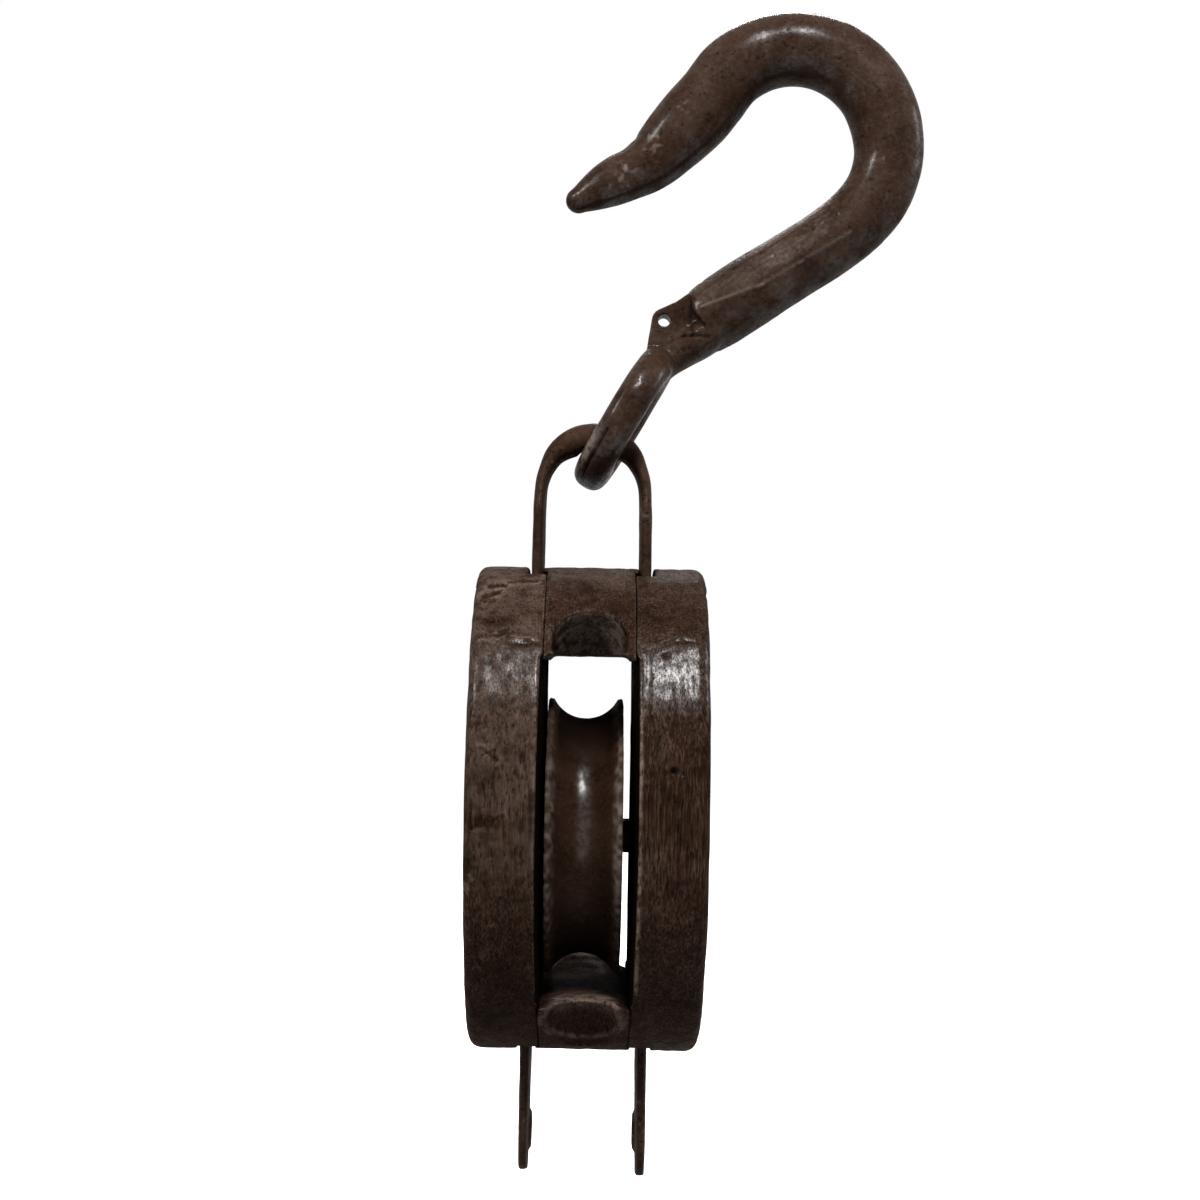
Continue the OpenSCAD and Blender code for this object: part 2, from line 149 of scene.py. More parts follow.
def closed_loft(rings):
    """A skin that closes on itself, such as a ring."""
    rings = np.asarray(rings, float)
    count, around = rings.shape[:2]
    return rings.reshape(-1, 3), ring_faces(count, count, around)


print("a skin through 3 rings of 8 points has", len(ring_faces(2, 3, 8)), "sides")

# %% Turned solids
AXES = {"X": ((1, 0, 0), (0, 1, 0), (0, 0, 1)), "Y": ((0, 1, 0), (0, 0, 1), (1, 0, 0))}


def around_once(steps):
    """Angles evenly spaced round a full turn."""
    return np.linspace(0, 2 * np.pi, steps, endpoint=False)


def turned(name, outline, centre, axis, steps=64):
    """A turned solid: each outline point is (place along the axis, radius)."""
    turn = around_once(steps)
    along, one, other = AXES[axis]
    circle = np.outer(np.cos(turn), one) + np.outer(np.sin(turn), other)
    return make_piece(name, *loft([centre + np.array(along) * a + circle * r for a, r in outline]))


print("vertices in a test bar:", len(turned("test_bar", [(0, 1), (1, 1)], link, "X").data.vertices))
bpy.data.objects.remove(bpy.data.objects["test_bar"])

# %% [markdown]
# A modifier is only a recipe until its result is made into a plain mesh. The next helpers do that for
# a boolean cut and for a voxel remesh. The remesh melts overlapping parts into one skin with soft inner
# corners, as forging or long wear does, and leaves an even net of small faces that can carry dents.

# %% Copy and cut
def cad_copy(node, name):
    """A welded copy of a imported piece."""
    mesh = frame["nodes"][node].data.copy()
    mesh.materials.clear()
    face_outwards(mesh, weld=0.002)
    return add_object(name, mesh)


def bake(piece):
    """Turns a piece's modifiers into plain mesh."""
    done = bpy.data.meshes.new_from_object(piece.evaluated_get(bpy.context.evaluated_depsgraph_get()))
    piece.modifiers.clear()
    piece.data = done


def cut(piece, cutter):
    """Takes one closed mesh out of another."""
    tool = piece.modifiers.new("cut", "BOOLEAN")
    tool.operation, tool.solver, tool.object = "DIFFERENCE", "EXACT", cutter
    bake(piece)
    bpy.data.objects.remove(cutter)


print("packed pieces that can be copied:", len(frame["nodes"]))

# %% Join and melt
COMMON_NET = 0.5


def join(name, pieces):
    """One object that holds several closed meshes."""
    whole = bmesh.new()
    for piece in pieces:
        whole.from_mesh(piece.data)
        bpy.data.objects.remove(piece)
    mesh = bpy.data.meshes.new(name)
    whole.to_mesh(mesh)
    whole.free()
    return add_object(name, mesh)


def melt(piece, voxel, softening=0):
    """Voxel remesh, then a few rounds of smoothing."""
    remesh = piece.modifiers.new("melt", "REMESH")
    remesh.mode, remesh.voxel_size, remesh.use_smooth_shade = "VOXEL", voxel * MM, True
    if softening:
        smooth = piece.modifiers.new("soften", "SMOOTH")
        smooth.factor, smooth.iterations = 0.5, softening
    bake(piece)
    print(piece.name, len(piece.data.polygons), "faces")
    return piece


print("most pieces are remeshed to a net of", COMMON_NET, "mm")

# %% [markdown]
# Numpy reads and moves all the points of a piece at once, which is quick enough for a net of a hundred
# thousand faces. A piece also keeps two attributes on its points, which its finish reads later: the
# first goes from dark, with dirt and painted shade, to pale, with wear and painted highlights, and
# "polished" says how far handling made it shine.

# %% Points of a piece
def vectors_of(items, field):
    """One row of three numbers for each item of a mesh."""
    numbers = np.empty(len(items) * 3)
    items.foreach_get(field, numbers)
    return numbers.reshape(-1, 3)


def points_of(piece):
    """The places of a piece's points, in millimetres."""
    return vectors_of(piece.data.vertices, "co") / MM


def normals_of(piece):
    """The way that each point of a piece looks."""
    return vectors_of(piece.data.vertex_normals, "vector")


def move_points(piece, points):
    """Gives every point of a piece its new place."""
    piece.data.vertices.foreach_set("co", (points * MM).ravel())
    piece.data.update()


def press_in(piece, depth):
    """Moves every point inwards along its normal by its own depth."""
    move_points(piece, points_of(piece) - normals_of(piece) * depth[:, None])
    print(piece.name, "pressed in by", round(depth.min(), 2), "to", round(depth.max(), 2), "mm")


def facing(normals, axis, gain, offset=0.0):
    """How far each point looks along an axis (0 for X, 1 for Y, 2 for Z), as a mask from 0 to 1."""
    return np.clip(gain * normals[:, axis] + offset, 0, 1)


print("a point that looks to the front:", facing(np.array([[0.0, -1.0, 0.0]]), 1, -2))

# %% Soften and rub
def soften(piece, share, rounds):
    """Smooths a piece point by point, by its share from 0 to 1, for some rounds."""
    points = points_of(piece)
    ends = np.empty(2 * len(piece.data.edges), int)
    piece.data.edges.foreach_get("vertices", ends)
    one, other = ends.reshape(-1, 2).T
    count = len(points)
    neighbours = np.bincount(one, minlength=count) + np.bincount(other, minlength=count)
    for _ in range(rounds):
        for k in range(3):
            total = np.bincount(one, points[other, k], count) + np.bincount(other, points[one, k], count)
            points[:, k] += 0.5 * share * (total / neighbours - points[:, k])
    move_points(piece, points)
    print(piece.name, "softened at", int((share > 0.5).sum()), "points")


def keep_wear_and_light(piece, amount, polished):
    """Keeps how dark or pale each point is, from -1 to 1, for dirt and wear and for painted shade and light,
    and how polished, from 0 to 1.
    """
    masks = {"wear_and_light": np.clip(amount, -1, 1), "polished": np.clip(polished + 0 * amount, 0, 1)}
    for name, values in masks.items():
        layer = piece.data.attributes.new(name, "FLOAT", "POINT")
        layer.data.foreach_set("value", values.astype(np.float32))
    print(piece.name, "rubbed from", round(amount.min(), 2), "to", round(amount.max(), 2))

# %% [markdown]
# ## Helpers for shape
# A smooth curve through a few chosen stations gives the sweep of each forging. A seeded lattice noise
# gives the unevenness that a hammer, a hewing tool or wear leaves, and two small rules press single
# dents and scratches where the old block has them.

# %% Smooth curve
def smooth_through(stations, steps):
    """Points on a smooth curve through stations, whose first numbers are the place."""
    stations = np.asarray(stations, float)
    padded = np.vstack([stations[:1], stations, stations[-1:]])
    t = np.linspace(0, 1, steps, endpoint=False)[:, None]
    spans = []
    for a, b, c, d in zip(padded, padded[1:], padded[2:], padded[3:]):
        spans.append(0.5 * (2 * b + (c - a) * t + (2 * a - 5 * b + 4 * c - d) * t ** 2
                            + (3 * b - a - 3 * c + d) * t ** 3))
    return np.vstack(spans + [stations[-1:]])


def ways_along(stations):
    """The direction of a path at each of its stations."""
    ways = np.gradient(stations[:, :2], axis=0)
    return ways / np.linalg.norm(ways, axis=1)[:, None]


print("a curve through three stations has", len(smooth_through([(0, 0), (1, 1), (2, 0)], 8)), "points")

# %% Lattice noise
HASH_X, HASH_Y, HASH_Z, HASH_SEED, HASH_MIX = 73856093, 19349663, 83492791, 2654435761, 1274126177
SEED_STEP = 37.0


def uneven(points, size, seed):
    """Noise from -1 to 1, with lumps about size wide. size may differ along X, Y and Z."""
    place = points / np.asarray(size, float) + SEED_STEP * seed
    cell = np.floor(place).astype(np.int64)
    part = place - cell
    part = part * part * (3 - 2 * part)
    total = np.zeros(len(points))
    for corner in np.ndindex(2, 2, 2):
        at = (cell + corner) & 0xFFFF
        mixed = (at[:, 0] * HASH_X) ^ (at[:, 1] * HASH_Y) ^ (at[:, 2] * HASH_Z) ^ (seed * HASH_SEED)
        mixed = (mixed ^ (mixed >> 13)) * HASH_MIX & 0xFFFFFFFF
        value = ((mixed ^ (mixed >> 16)) & 0xFFFF) / 32767.5 - 1
        total += value * np.prod(np.where(corner, part, 1 - part), axis=1)
    return total


print("noise at three places:", uneven(np.eye(3) * 5, 2, 1).round(2))

# %% Dents and scratches
def dents(flat, marks):
    """Depth at each point of a plane, for marks given as across, up, width, height and depth."""
    depth = np.zeros(len(flat))
    for across_at, up_at, wide, high, deep in marks:
        away = np.hypot((flat[:, 0] - across_at) / wide, (flat[:, 1] - up_at) / high)
        depth += deep * np.exp(-(2 * away) ** 2)
    return depth


def scratches(flat, marks):
    """The same for marks given by two ends, a width and a depth."""
    depth = np.zeros(len(flat))
    for x0, z0, x1, z1, wide, deep in marks:
        way = np.array([x1 - x0, z1 - z0])
        at = flat - (x0, z0)
        t = np.clip(at @ way / (way @ way), 0, 1)
        away = np.linalg.norm(at - t[:, None] * way, axis=1)
        depth += deep * np.exp(-(2 * away / wide) ** 2)
    return depth


print("depth in the middle of a dent of 0.5 mm:", dents(np.zeros((1, 2)), [(0, 0, 2, 2, 0.5)]))

# %% [markdown]
# ## The hook
# The hook is one forging: a heavy bar drawn to a point, bent round a mandrel into the bowl, left
# eight-sided along the shank and drawn down to a neck that ends in an eye. A smith shapes it hot, so its
# parts flow into each other. Here the bar is swept along its path with a cross-section that changes from
# round to eight-sided. The eye, neck and lug are added as closed meshes and melted together with it.
# A sweep was chosen because its short list of stations can be read, and checked against the photograph.

# %% The hook's own directions
lean = math.atan2(link[0], link[2]) + math.pi
across = np.array([math.cos(lean), 0, -math.sin(lean)])
upward = np.array([math.sin(lean), 0, math.cos(lean)])
depthwise = np.array([0, 1.0, 0])


def on_hook(v, u, y=0.0):
    """A point given across and along the hook's load line, from the link's middle."""
    return link + across * v + upward * u + depthwise * y


print("load line leans", round(math.degrees(lean), 2), "degrees")

# %% Stations along the hook's bar
# Each station: across, along, half thickness, and how eight-sided the bar is there
bowl_r, bowl_bar, bowl_rise = 30, 22.6, 122.1
point = [-49, 70.8, 4.2, 0.2]
bill = [[-44.5, 78.5, 6.9, 0.3], [-39.7, 86.3, 8.3, 0.3], [-35.6, 93.6, 9.2, 0.2], [-33, 104.6, 10.8, 0],
        [-31.2, 113, 11.5, 0]]
bowl = [[bowl_r * math.cos(a), bowl_rise + bowl_r * math.sin(a), bowl_bar / 2, 0]
        for a in np.radians(np.linspace(182, 47, 8))]
shank = [[26.9, 136.4, 11, 0], [30, 129, 10.9, 0], [31.1, 120.5, 10.9, 0.05], [29.4, 110.2, 10.9, 0.15],
         [25, 99, 10.95, 0.3], [19.2, 87.5, 11.05, 0.4], [12.8, 74.6, 11.3, 0.45], [7.6, 63.3, 11.2, 0.5],
         [5, 57, 10.2, 0.5]]


def bar_ring(place, way, half, eight, steps=64, flat=0.95):
    """A ring round a bar: a circle, an octagon with a ridge towards the front, or between the two."""
    turn = around_once(steps)
    octagon = math.cos(math.pi / 8) / np.cos(turn % (math.pi / 4) - math.pi / 8)
    radius = half * ((1 - eight) + eight * octagon)
    side = np.array([way[1], -way[0]])
    out = radius[:, None] * (np.cos(turn)[:, None] * side)
    return np.array([on_hook(place[0] + o[0], place[1] + o[1], y)
                     for o, y in zip(out, radius * np.sin(turn) * flat)])


path = smooth_through([point] + bill + bowl + shank, 10)
first_way = ways_along(path)[0]
nose = [bar_ring(path[0, :2] - first_way * point[2] * math.sin(a), first_way, point[2] * math.cos(a), point[3])
        for a in np.radians(np.arange(84, 0, -12))]
hook_bar = make_piece("hook_bar", *loft(nose + [bar_ring(s[:2], way, s[2], s[3])
                                                for s, way in zip(path, ways_along(path))]))
print("stations along the bar:", len(path))

# %% The shoulder above the lug
shoulder_at, shoulder_tilt, shoulder_cut = (0.2, 59.3), math.radians(51.6), 20
toward = (math.cos(shoulder_tilt), -math.sin(shoulder_tilt))
below = (-math.sin(shoulder_tilt), -math.cos(shoulder_tilt))
corners = [(shoulder_at[0] + toward[0] * a + below[0] * b, shoulder_at[1] + toward[1] * a + below[1] * b)
           for a, b in ((-shoulder_cut, 0), (shoulder_cut, 0), (shoulder_cut, 2 * shoulder_cut),
                        (-shoulder_cut, 2 * shoulder_cut))]
cut(hook_bar, make_piece("shoulder_cut", *loft([[on_hook(v, u, y) for v, u in corners]
                                                for y in (shoulder_cut, -shoulder_cut)])))
print("bar cut at", shoulder_at)

# %% The lug with the latch pin's hole
lug_t, lug_hole, lug_hole_r, lug_r = 9, (-5.5, 51.8), 2, 3.9
rounded = [(lug_hole[0] + lug_r * math.cos(a), lug_hole[1] + lug_r * math.sin(a))
           for a in np.radians(np.arange(195, 149, -5))]
lug_outline = [(-5, 40.5)] + rounded + [(-5.4, 58.8), (-3, 64.2), (8, 60), (6, 47), (0, 40.5)]
lug = make_piece("lug", *loft([[on_hook(v, u, y) for v, u in lug_outline] for y in (lug_t / 2, -lug_t / 2)]))
cut(lug, turned("lug_hole", [(-lug_t, lug_hole_r), (lug_t, lug_hole_r)], on_hook(*lug_hole), "Y"))
print("lug outline points:", len(lug_outline))

# %% [markdown]
# The eye and the neck are softer in section than the bar: between a rectangle and an ellipse. One ring
# function with a roundness from 0 to 1 serves both, and later the strap.

# %% The eye and the neck
eye_bar, eye_band, eye_w, eye_straight = 11, 12.2, 23, 3
eye_roundness, neck_roundness = 0.55, 0.85
eye_r = (eye_w + eye_band) / 2
eye_top = 2 * eye_r + eye_straight


def soft_ring(centre, side, other, half_side, half_other, roundness, steps=48):
    """A ring between a rectangle and an ellipse in the plane of two directions."""
    turn = around_once(steps)
    power = 0.5 + 0.5 * roundness
    c, s = np.cos(turn), np.sin(turn)
    a = np.sign(c) * np.abs(c) ** power * half_side
    b = np.sign(s) * np.abs(s) ** power * half_other
    return centre + a[:, None] * side + b[:, None] * other


eye_rings = []
for a in around_once(96):
    out = depthwise * math.cos(a) + upward * math.sin(a)
    lift = eye_r + (eye_straight if math.sin(a) > 0 else 0)
    eye_rings.append(soft_ring(on_hook(0, lift) + out * eye_r, across, out, eye_bar / 2, eye_band / 2,
                               eye_roundness))
eye = make_piece("eye", *closed_loft(eye_rings))
neck_path = smooth_through([[0, eye_top - 3, 5.5, 5.8], [0.2, 38.5, 5.6, 6], [1.1, 42, 5.8, 6.4],
                            [3.8, 46.9, 5.7, 7.2], [7.4, 53.3, 5.9, 8.4], [10.4, 60, 6, 9]], 6)
neck = make_piece("neck", *loft([soft_ring(on_hook(s[0], s[1]), across * way[1] - upward * way[0], depthwise,
                                           s[2], s[3], neck_roundness)
                                 for s, way in zip(neck_path, ways_along(neck_path))]))
hook = melt(join("hook_forging", [hook_bar, lug, eye, neck]), COMMON_NET, softening=4)

# %% [markdown]
# Hammer work leaves three sizes of marks: broad flats, small dents and a few rusted pits. They fade out
# at the link, where iron rubs on iron and where the eye must stay clear of the strap.

# %% Forging marks
link_clear = 14


def forge_marks(points, depth, seed, size=9.0):
    """Depth of broad hammer marks, smaller dents and a few deeper pits."""
    marks = 0.7 * uneven(points, size, seed) + 0.15 * uneven(points, size * 0.4, seed + 1)
    pits = np.clip(uneven(points, size * 0.25, seed + 2) - 0.6, 0, 1)
    near_link = np.clip(np.linalg.norm(points - link, axis=1) / link_clear - 0.6, 0.15, 1)
    return depth * near_link * (2.2 * pits - marks)


def hook_plane(points):
    """Places across and along the hook's load line."""
    at = points - link
    return np.stack([at @ across, at @ upward], 1)


hook_points = points_of(hook)
flat = hook_plane(hook_points)
print("the hook spans", np.ptp(flat, axis=0).round(1), "mm across and along its load line")

# %% [markdown]
# Then come the marks that only this hook has: the lap seam in its eye, the creases at its neck, the ridge
# and the scores along its shank, and a nick in its bill.

# %% Single marks of this hook
# Each scratch: from across and along, to across and along, width and depth.
# Each dent: across, along, width, height and depth
seam_marks = [(-1.6, -8.5, -1.8, 11, 1.2, 0.6)]
crease_marks = [(2, 50.5, 9.5, 54, 1.4, 0.5), (-3, 43.5, 2, 50.5, 1.4, 0.3), (-2.6, 62.4, 4.4, 52, 1.3, 0.45)]
ridge_marks = [(2.5, 60.5, 15.2, 76.1, 1.3, 0.3), (15.2, 76.1, 30.2, 104.9, 1.3, 0.25)]
score_marks = [(4, 70, 14, 92, 0.8, 0.14), (7, 74, 20, 97, 0.8, 0.12), (-2, 149, 12, 147, 0.8, 0.15),
               (-4, 146.5, 10, 145, 0.8, 0.12)]
bill_nick = dents(flat, [(-45.5, 91.5, 5, 7, 0.8), (-44, 97, 5, 3, 0.4)])
facing_front = facing(normals_of(hook), 1, -2)
cuts = scratches(flat, seam_marks + crease_marks)
ridge, scores = scratches(flat, ridge_marks), scratches(flat, score_marks)
press_in(hook, forge_marks(hook_points, depth=0.22, seed=3) + bill_nick
         + facing_front * (cuts + scores - ridge))

# %% [markdown]
# Long handling has rubbed the hook pale in specks, most of all on the bill, and polished two places: a
# streaky band along the shank and a patch beside the seam of the eye. Both places are also painted paler,
# as highlights.

# %% Wear of the hook
shank_way, shank_side = (0.43, 0.9), (0.9, -0.43)
shank_band = [(1.5, 64, 21, 103, 6, 1)]
eye_patch = [(-4.3, 3, 3.6, 12, 1.6)]
on_bill = np.clip((-30 - flat[:, 0]) / 8, 0, 1)
specks = np.clip(uneven(hook_points, 1.0, 8) + uneven(hook_points, 9, 9) - 0.65, 0, 1) * 0.6
down_shank = np.stack([flat @ shank_side, flat @ shank_way, hook_points[:, 1]], 1)
streaky = np.clip(uneven(down_shank, (0.7, 3, 0.9), 15) + 0.75, 0, 1)
# painted highlight: the streaky band along the shank is also made paler
sheen = np.clip(scratches(flat, shank_band) * facing_front, 0, 1) * streaky
# painted highlight: the patch beside the eye's seam is made pale
bright_spot = dents(flat, eye_patch) * np.clip(uneven(hook_points, 1.2, 10) + 0.7, 0, 1)
front_wear_and_highlight = 1.4 * ridge - 1.4 * cuts + 0.8 * bright_spot
keep_wear_and_light(hook, 0.2 * sheen + facing_front * front_wear_and_highlight + specks * (0.5 + on_bill),
    0.45 + 0.45 * uneven(hook_points, 4, 14) + bright_spot + sheen)

# %% [markdown]
# ## The strap
# One wrought-iron bar: round at the loop's crown, where the hook's eye bears on it, and flat along both
# legs, which are let into the cheeks and end below the shell in two ears with a hole for a bolt. Like the
# hook it is a sweep, so its stations are a short list and the rest follows.

# %% The shell's middle
shell_low, shell_high = (np.array(c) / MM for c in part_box("left_cheek"))
half_h = (shell_high[2] - shell_low[2]) / 2
half_d = (shell_high[1] - shell_low[1]) / 2
shell_mid = np.array([link[0], 0, (shell_high[2] + shell_low[2]) / 2])
cheek_out = shell_mid[0] - shell_low[0]
print("shell", round(2 * half_h, 1), "high", round(2 * half_d, 1), "deep, cheeks reach", round(cheek_out, 1))

# %% Stations down the strap
leg_t, leg_low_t, ear_t, leg_w, loop_r, arch_z = 3.9, 3.7, 3.1, 24, 17.5, -2.55
leg_top_x, leg_low_x = 17, 18.2
leg_top_z, leg_low_z = shell_mid[2] + half_h - link[2], shell_mid[2] - half_h - link[2]
leg_lean = (leg_low_x - leg_top_x) / (2 * half_h)
becket_z, becket_r, ear_r = leg_low_z - 26.6, 4.75, leg_w / 2


def leg_x(z):
    """How far a leg's middle stands from the block's middle, at a height over the link."""
    return leg_top_x + (leg_top_z - z) * leg_lean


# Each station: sideways, up, half thickness, half width and roundness
loop = [[(loop_r - t) * math.sin(math.radians(a)), arch_z + (loop_r - t) * math.cos(math.radians(a)), t, w, c]
        for a, t, w, c in ((0, 5, 5.2, 0.95), (20, 4.8, 5.2, 0.95), (40, 4.25, 5.3, 0.95), (60, 3.3, 5.9, 0.9),
                           (79, 2.5, 6.9, 0.8))]
legs = [[leg_x(z) - inset, z, t, w, c] for z, t, w, inset, c in
        ((-3.4, 2.15, 8, 0.75, 0.6), (-7, leg_t / 2, 9.8, 0.25, 0.3), (-13, leg_t / 2, leg_w / 2, 0, 0.2))]
print("stations in half a loop:", len(loop) + len(legs))

# %% The strap's sweep
def half_strap(end_z):
    """One side of the strap, from the crown of the loop to the round end of the ear."""
    low = end_z + ear_r
    heights = [legs[-1][1], leg_low_z, end_z]
    halves = [leg_t / 2, leg_low_t / 2, ear_t / 2]

    def half_t(z):
        """Half the bar's thickness at a height."""
        return np.interp(-z, [-h for h in heights], halves)

    straight = [[leg_x(z), z, half_t(z), ear_r, 0.2] for z in np.linspace(-20, low, 24)]
    end = [[leg_x(z), z, half_t(z), math.sqrt(max(ear_r ** 2 - (low - z) ** 2, 0.3)), 0.2]
           for z in low - ear_r * np.sin(np.radians([10, 20, 30, 40, 50, 60, 70, 78, 84, 88]))]
    return np.vstack([smooth_through(loop + legs, 8), straight, end])


left, right = half_strap(becket_z - ear_r - 0.6), half_strap(becket_z - ear_r - 2)
left[:, 0] *= -1
strap_path = np.vstack([left[::-1], right[1:]])
strap_rings = [soft_ring(link + np.array([s[0], 0, s[1]]), np.array([way[1], 0, -way[0]]), depthwise,
                         s[2], s[3], s[4], steps=64) for s, way in zip(strap_path, ways_along(strap_path))]
strap_bar = make_piece("strap_bar", *loft(strap_rings))
print("stations along the strap:", len(strap_path))

# %% [markdown]
# Each becket hole was punched from outside, which raised a low burr round it on the inner side. Under
# the crown the hook's eye has worn a hollow, saddle-shaped because the eye's own bar is bent.

# %% Burrs, holes and the worn hollow
becket = link + np.array([0, 0, becket_z])
burr_r, burr_proud, pin_hole_r = 6.2, 0.7, 5.5
burr_in = leg_x(becket_z) - leg_low_t / 2 - burr_proud
burrs = [turned("burr", [(side * burr_in, burr_r - 0.9), (side * (burr_in + 0.5), burr_r),
                         (side * leg_x(becket_z), burr_r)], becket, "X") for side in (-1, 1)]
strap = join("strap_forging", [strap_bar] + burrs)
melt(strap, COMMON_NET)
long_way = 40
cut(strap, turned("becket_holes", [(-long_way, becket_r), (long_way, becket_r)], becket, "X"))
cut(strap, turned("pin_holes", [(-long_way, pin_hole_r), (long_way, pin_hole_r)], pin, "X"))
eye_reach, wear_gap, hollow_half = 6.5, 0.3, 8
hollow = [(y, eye_reach + wear_gap + eye_w / 2 - math.sqrt((eye_w / 2) ** 2 - y * y))
          for y in np.linspace(-hollow_half, hollow_half, 17)]
cut(strap, turned("worn_hollow", hollow, link, "Y"))
melt(strap, COMMON_NET, softening=2)
press_in(strap, forge_marks(points_of(strap), depth=0.12, seed=11, size=6.0))
strap_points = points_of(strap)
specks = np.clip(uneven(strap_points, 1.3, 12) + uneven(strap_points, 8, 13) - 0.6, 0, 1) * 0.7
keep_wear_and_light(strap, specks, 0.08)

# %% [markdown]
# ## The shell
# Two cheeks and two spacer blocks of dense wood, riveted together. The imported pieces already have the
# right oval, the slots for the strap and the scooped rope leads, so welded copies of them are remeshed
# finely enough to carry tool marks and wear.

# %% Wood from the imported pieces
def shell_plane(points):
    """Places sideways and up from the shell's middle."""
    return points[:, [0, 2]] - shell_mid[[0, 2]]


def wood_surface(points, seed):
    """Depth of slow waves and of upright fibres."""
    waves = 0.14 * uneven(points, (9, 9, 26), seed) + 0.07 * uneven(points, (3, 3, 9), seed + 1)
    fibres = 0.08 * uneven(points, (1.5, 1.5, 9), seed + 2) + 0.06 * uneven(points, (2.2, 2.2, 20), seed + 3)
    return waves + fibres


print("shell middle at", shell_mid.round(1))

# %% [markdown]
# The rim of the shell was hewn, not turned. Near the top, at the front and the back, a flat facet cuts
# the oval, and its lower border is a ragged step where the grain tore.

# %% Hewn facets
facet_low, facet_high, facet_share, step_deep = 52.5, 71, 0.35, 0.45
ragged_broad, ragged_fine, rim_from, rim_fade = 1.6, 0.7, 14, 4


def oval_depth(z):
    """Half the shell's depth from front to back, at a height over its middle."""
    return half_d * np.sqrt(np.clip(1 - (z / half_h) ** 2, 0, 1))


def hewn(points, normals, seed):
    """Depth of the hewn facets across the rim near the shell's top, and the pale line of torn grain, which is
    partly a painted highlight.
    """
    flat = shell_plane(points)
    sideways = points * (1, 0, 0)
    edge = facet_low + ragged_broad * uneven(sideways, 5, seed) + ragged_fine * uneven(sideways, 1.3, seed + 1)
    share = np.clip((flat[:, 1] - edge) / (facet_high - edge), 0, 1)
    chord = oval_depth(edge) + (oval_depth(facet_high) - oval_depth(edge)) * share
    flattened = np.where((share > 0) & (share < 1), oval_depth(flat[:, 1]) - chord, 0)
    step = step_deep * np.clip((flat[:, 1] - edge) / 0.7, 0, 1) * (1 - share)
    on_rim = np.clip(2 * np.hypot(normals[:, 1], normals[:, 2]) - 1, 0, 1)
    on_rim *= np.clip((np.abs(points[:, 1]) - rim_from) / rim_fade, 0, 1)
    # the torn grain's line is paler, partly as wear and partly as a painted highlight
    torn_grain_and_highlight = np.exp(-((flat[:, 1] - edge) / 0.5) ** 2) * np.clip(uneven(points, 1.1, seed + 2) + 0.3, 0, 1)
    return on_rim * (facet_share * flattened + step), on_rim * torn_grain_and_highlight


print("facet from", facet_low, "to", facet_high, "above the shell's middle")

# %% [markdown]
# Single marks come last: gouges and knocks that a hook or a deck left on the front of each cheek, and
# like ones of another pattern on the back, drawn from a seed.

# %% Knocks on the cheeks
# Each dent: across, up, width, height and depth. Each scratch: two ends, width and depth
left_dents = [(-29, 58.4, 8, 2, 0.5), (-28, 54.3, 7, 1.6, 0.4), (-18.5, 51.5, 7, 2, 0.5), (-29, 0, 9, 3, 0.35),
              (-34.5, -14, 2.4, 5, 0.5), (-33.2, -22, 2, 4, 0.45), (-15.5, -34, 1.6, 3, 0.4)]
left_scratches = [(-33, 66, -28, 67.5, 1.4, 0.35), (-31, 69, -26, 69.5, 1.2, 0.3),
                  (-25.5, 70.5, -16.5, 70.8, 0.8, 0.3), (-31, 21, -26, 17.5, 1, 0.35),
                  (-30, 19, -26.5, 20.5, 0.9, 0.25), (-33, -2, -24, 1.5, 1.1, 0.3)]
right_dents = [(27.5, 52.8, 8, 1.6, 0.55), (22.4, 48.5, 1.6, 1.6, 0.7), (24.7, 15.3, 3.6, 2.4, 0.7),
               (28, 14.4, 3, 1.2, 0.4), (30.3, -9.1, 3, 3, 0.5), (27, -30, 1.5, 9, 0.2)]
right_scratches = [(17, 62, 17.5, 30, 0.9, 0.16), (24, 40, 24.6, 12, 0.8, 0.14),
                   (20, -20, 20.6, -52, 0.9, 0.16)]


def back_knocks(sign, seed):
    """Seeded dents and scratches for the back of one cheek."""
    dice = np.random.default_rng(seed)
    some_dents = [(sign * dice.uniform(17, 34), dice.uniform(-55, 60), dice.uniform(2, 7), dice.uniform(1.5, 3),
                   dice.uniform(0.3, 0.6)) for _ in range(8)]
    starts = [(sign * dice.uniform(16, 30), dice.uniform(-50, 55)) for _ in range(5)]
    some_scratches = [(x, z, x + dice.uniform(-4, 4), z + dice.uniform(-6, 6), 1, 0.3) for x, z in starts]
    return some_dents, some_scratches


print("knocks at the front:", len(left_dents + left_scratches + right_dents + right_scratches))

# %% [markdown]
# Wear makes a cheek darker and paler: dirt fills the seams beside the spacers, torn grain, scratches and
# the inner arris are rubbed pale, and hands have polished a band near the top. Light and shade are
# painted in as well: the inner face and the lower part are painted darker as shade, the torn grain and
# the inner arris also carry painted highlights, and a pitted patch low on the left cheek is partly worn
# pale and partly painted glints. The left cheek is paler from its middle up.

# %% Cheeks
cheek_net = 0.68
arris_at, arris_wide, arris_low, arris_high = 15.25, 0.65, -52, 44
seam_reach, crown_from, tail_from = 14.1, 46, -57
handled_at, handled_tall = 44, 11


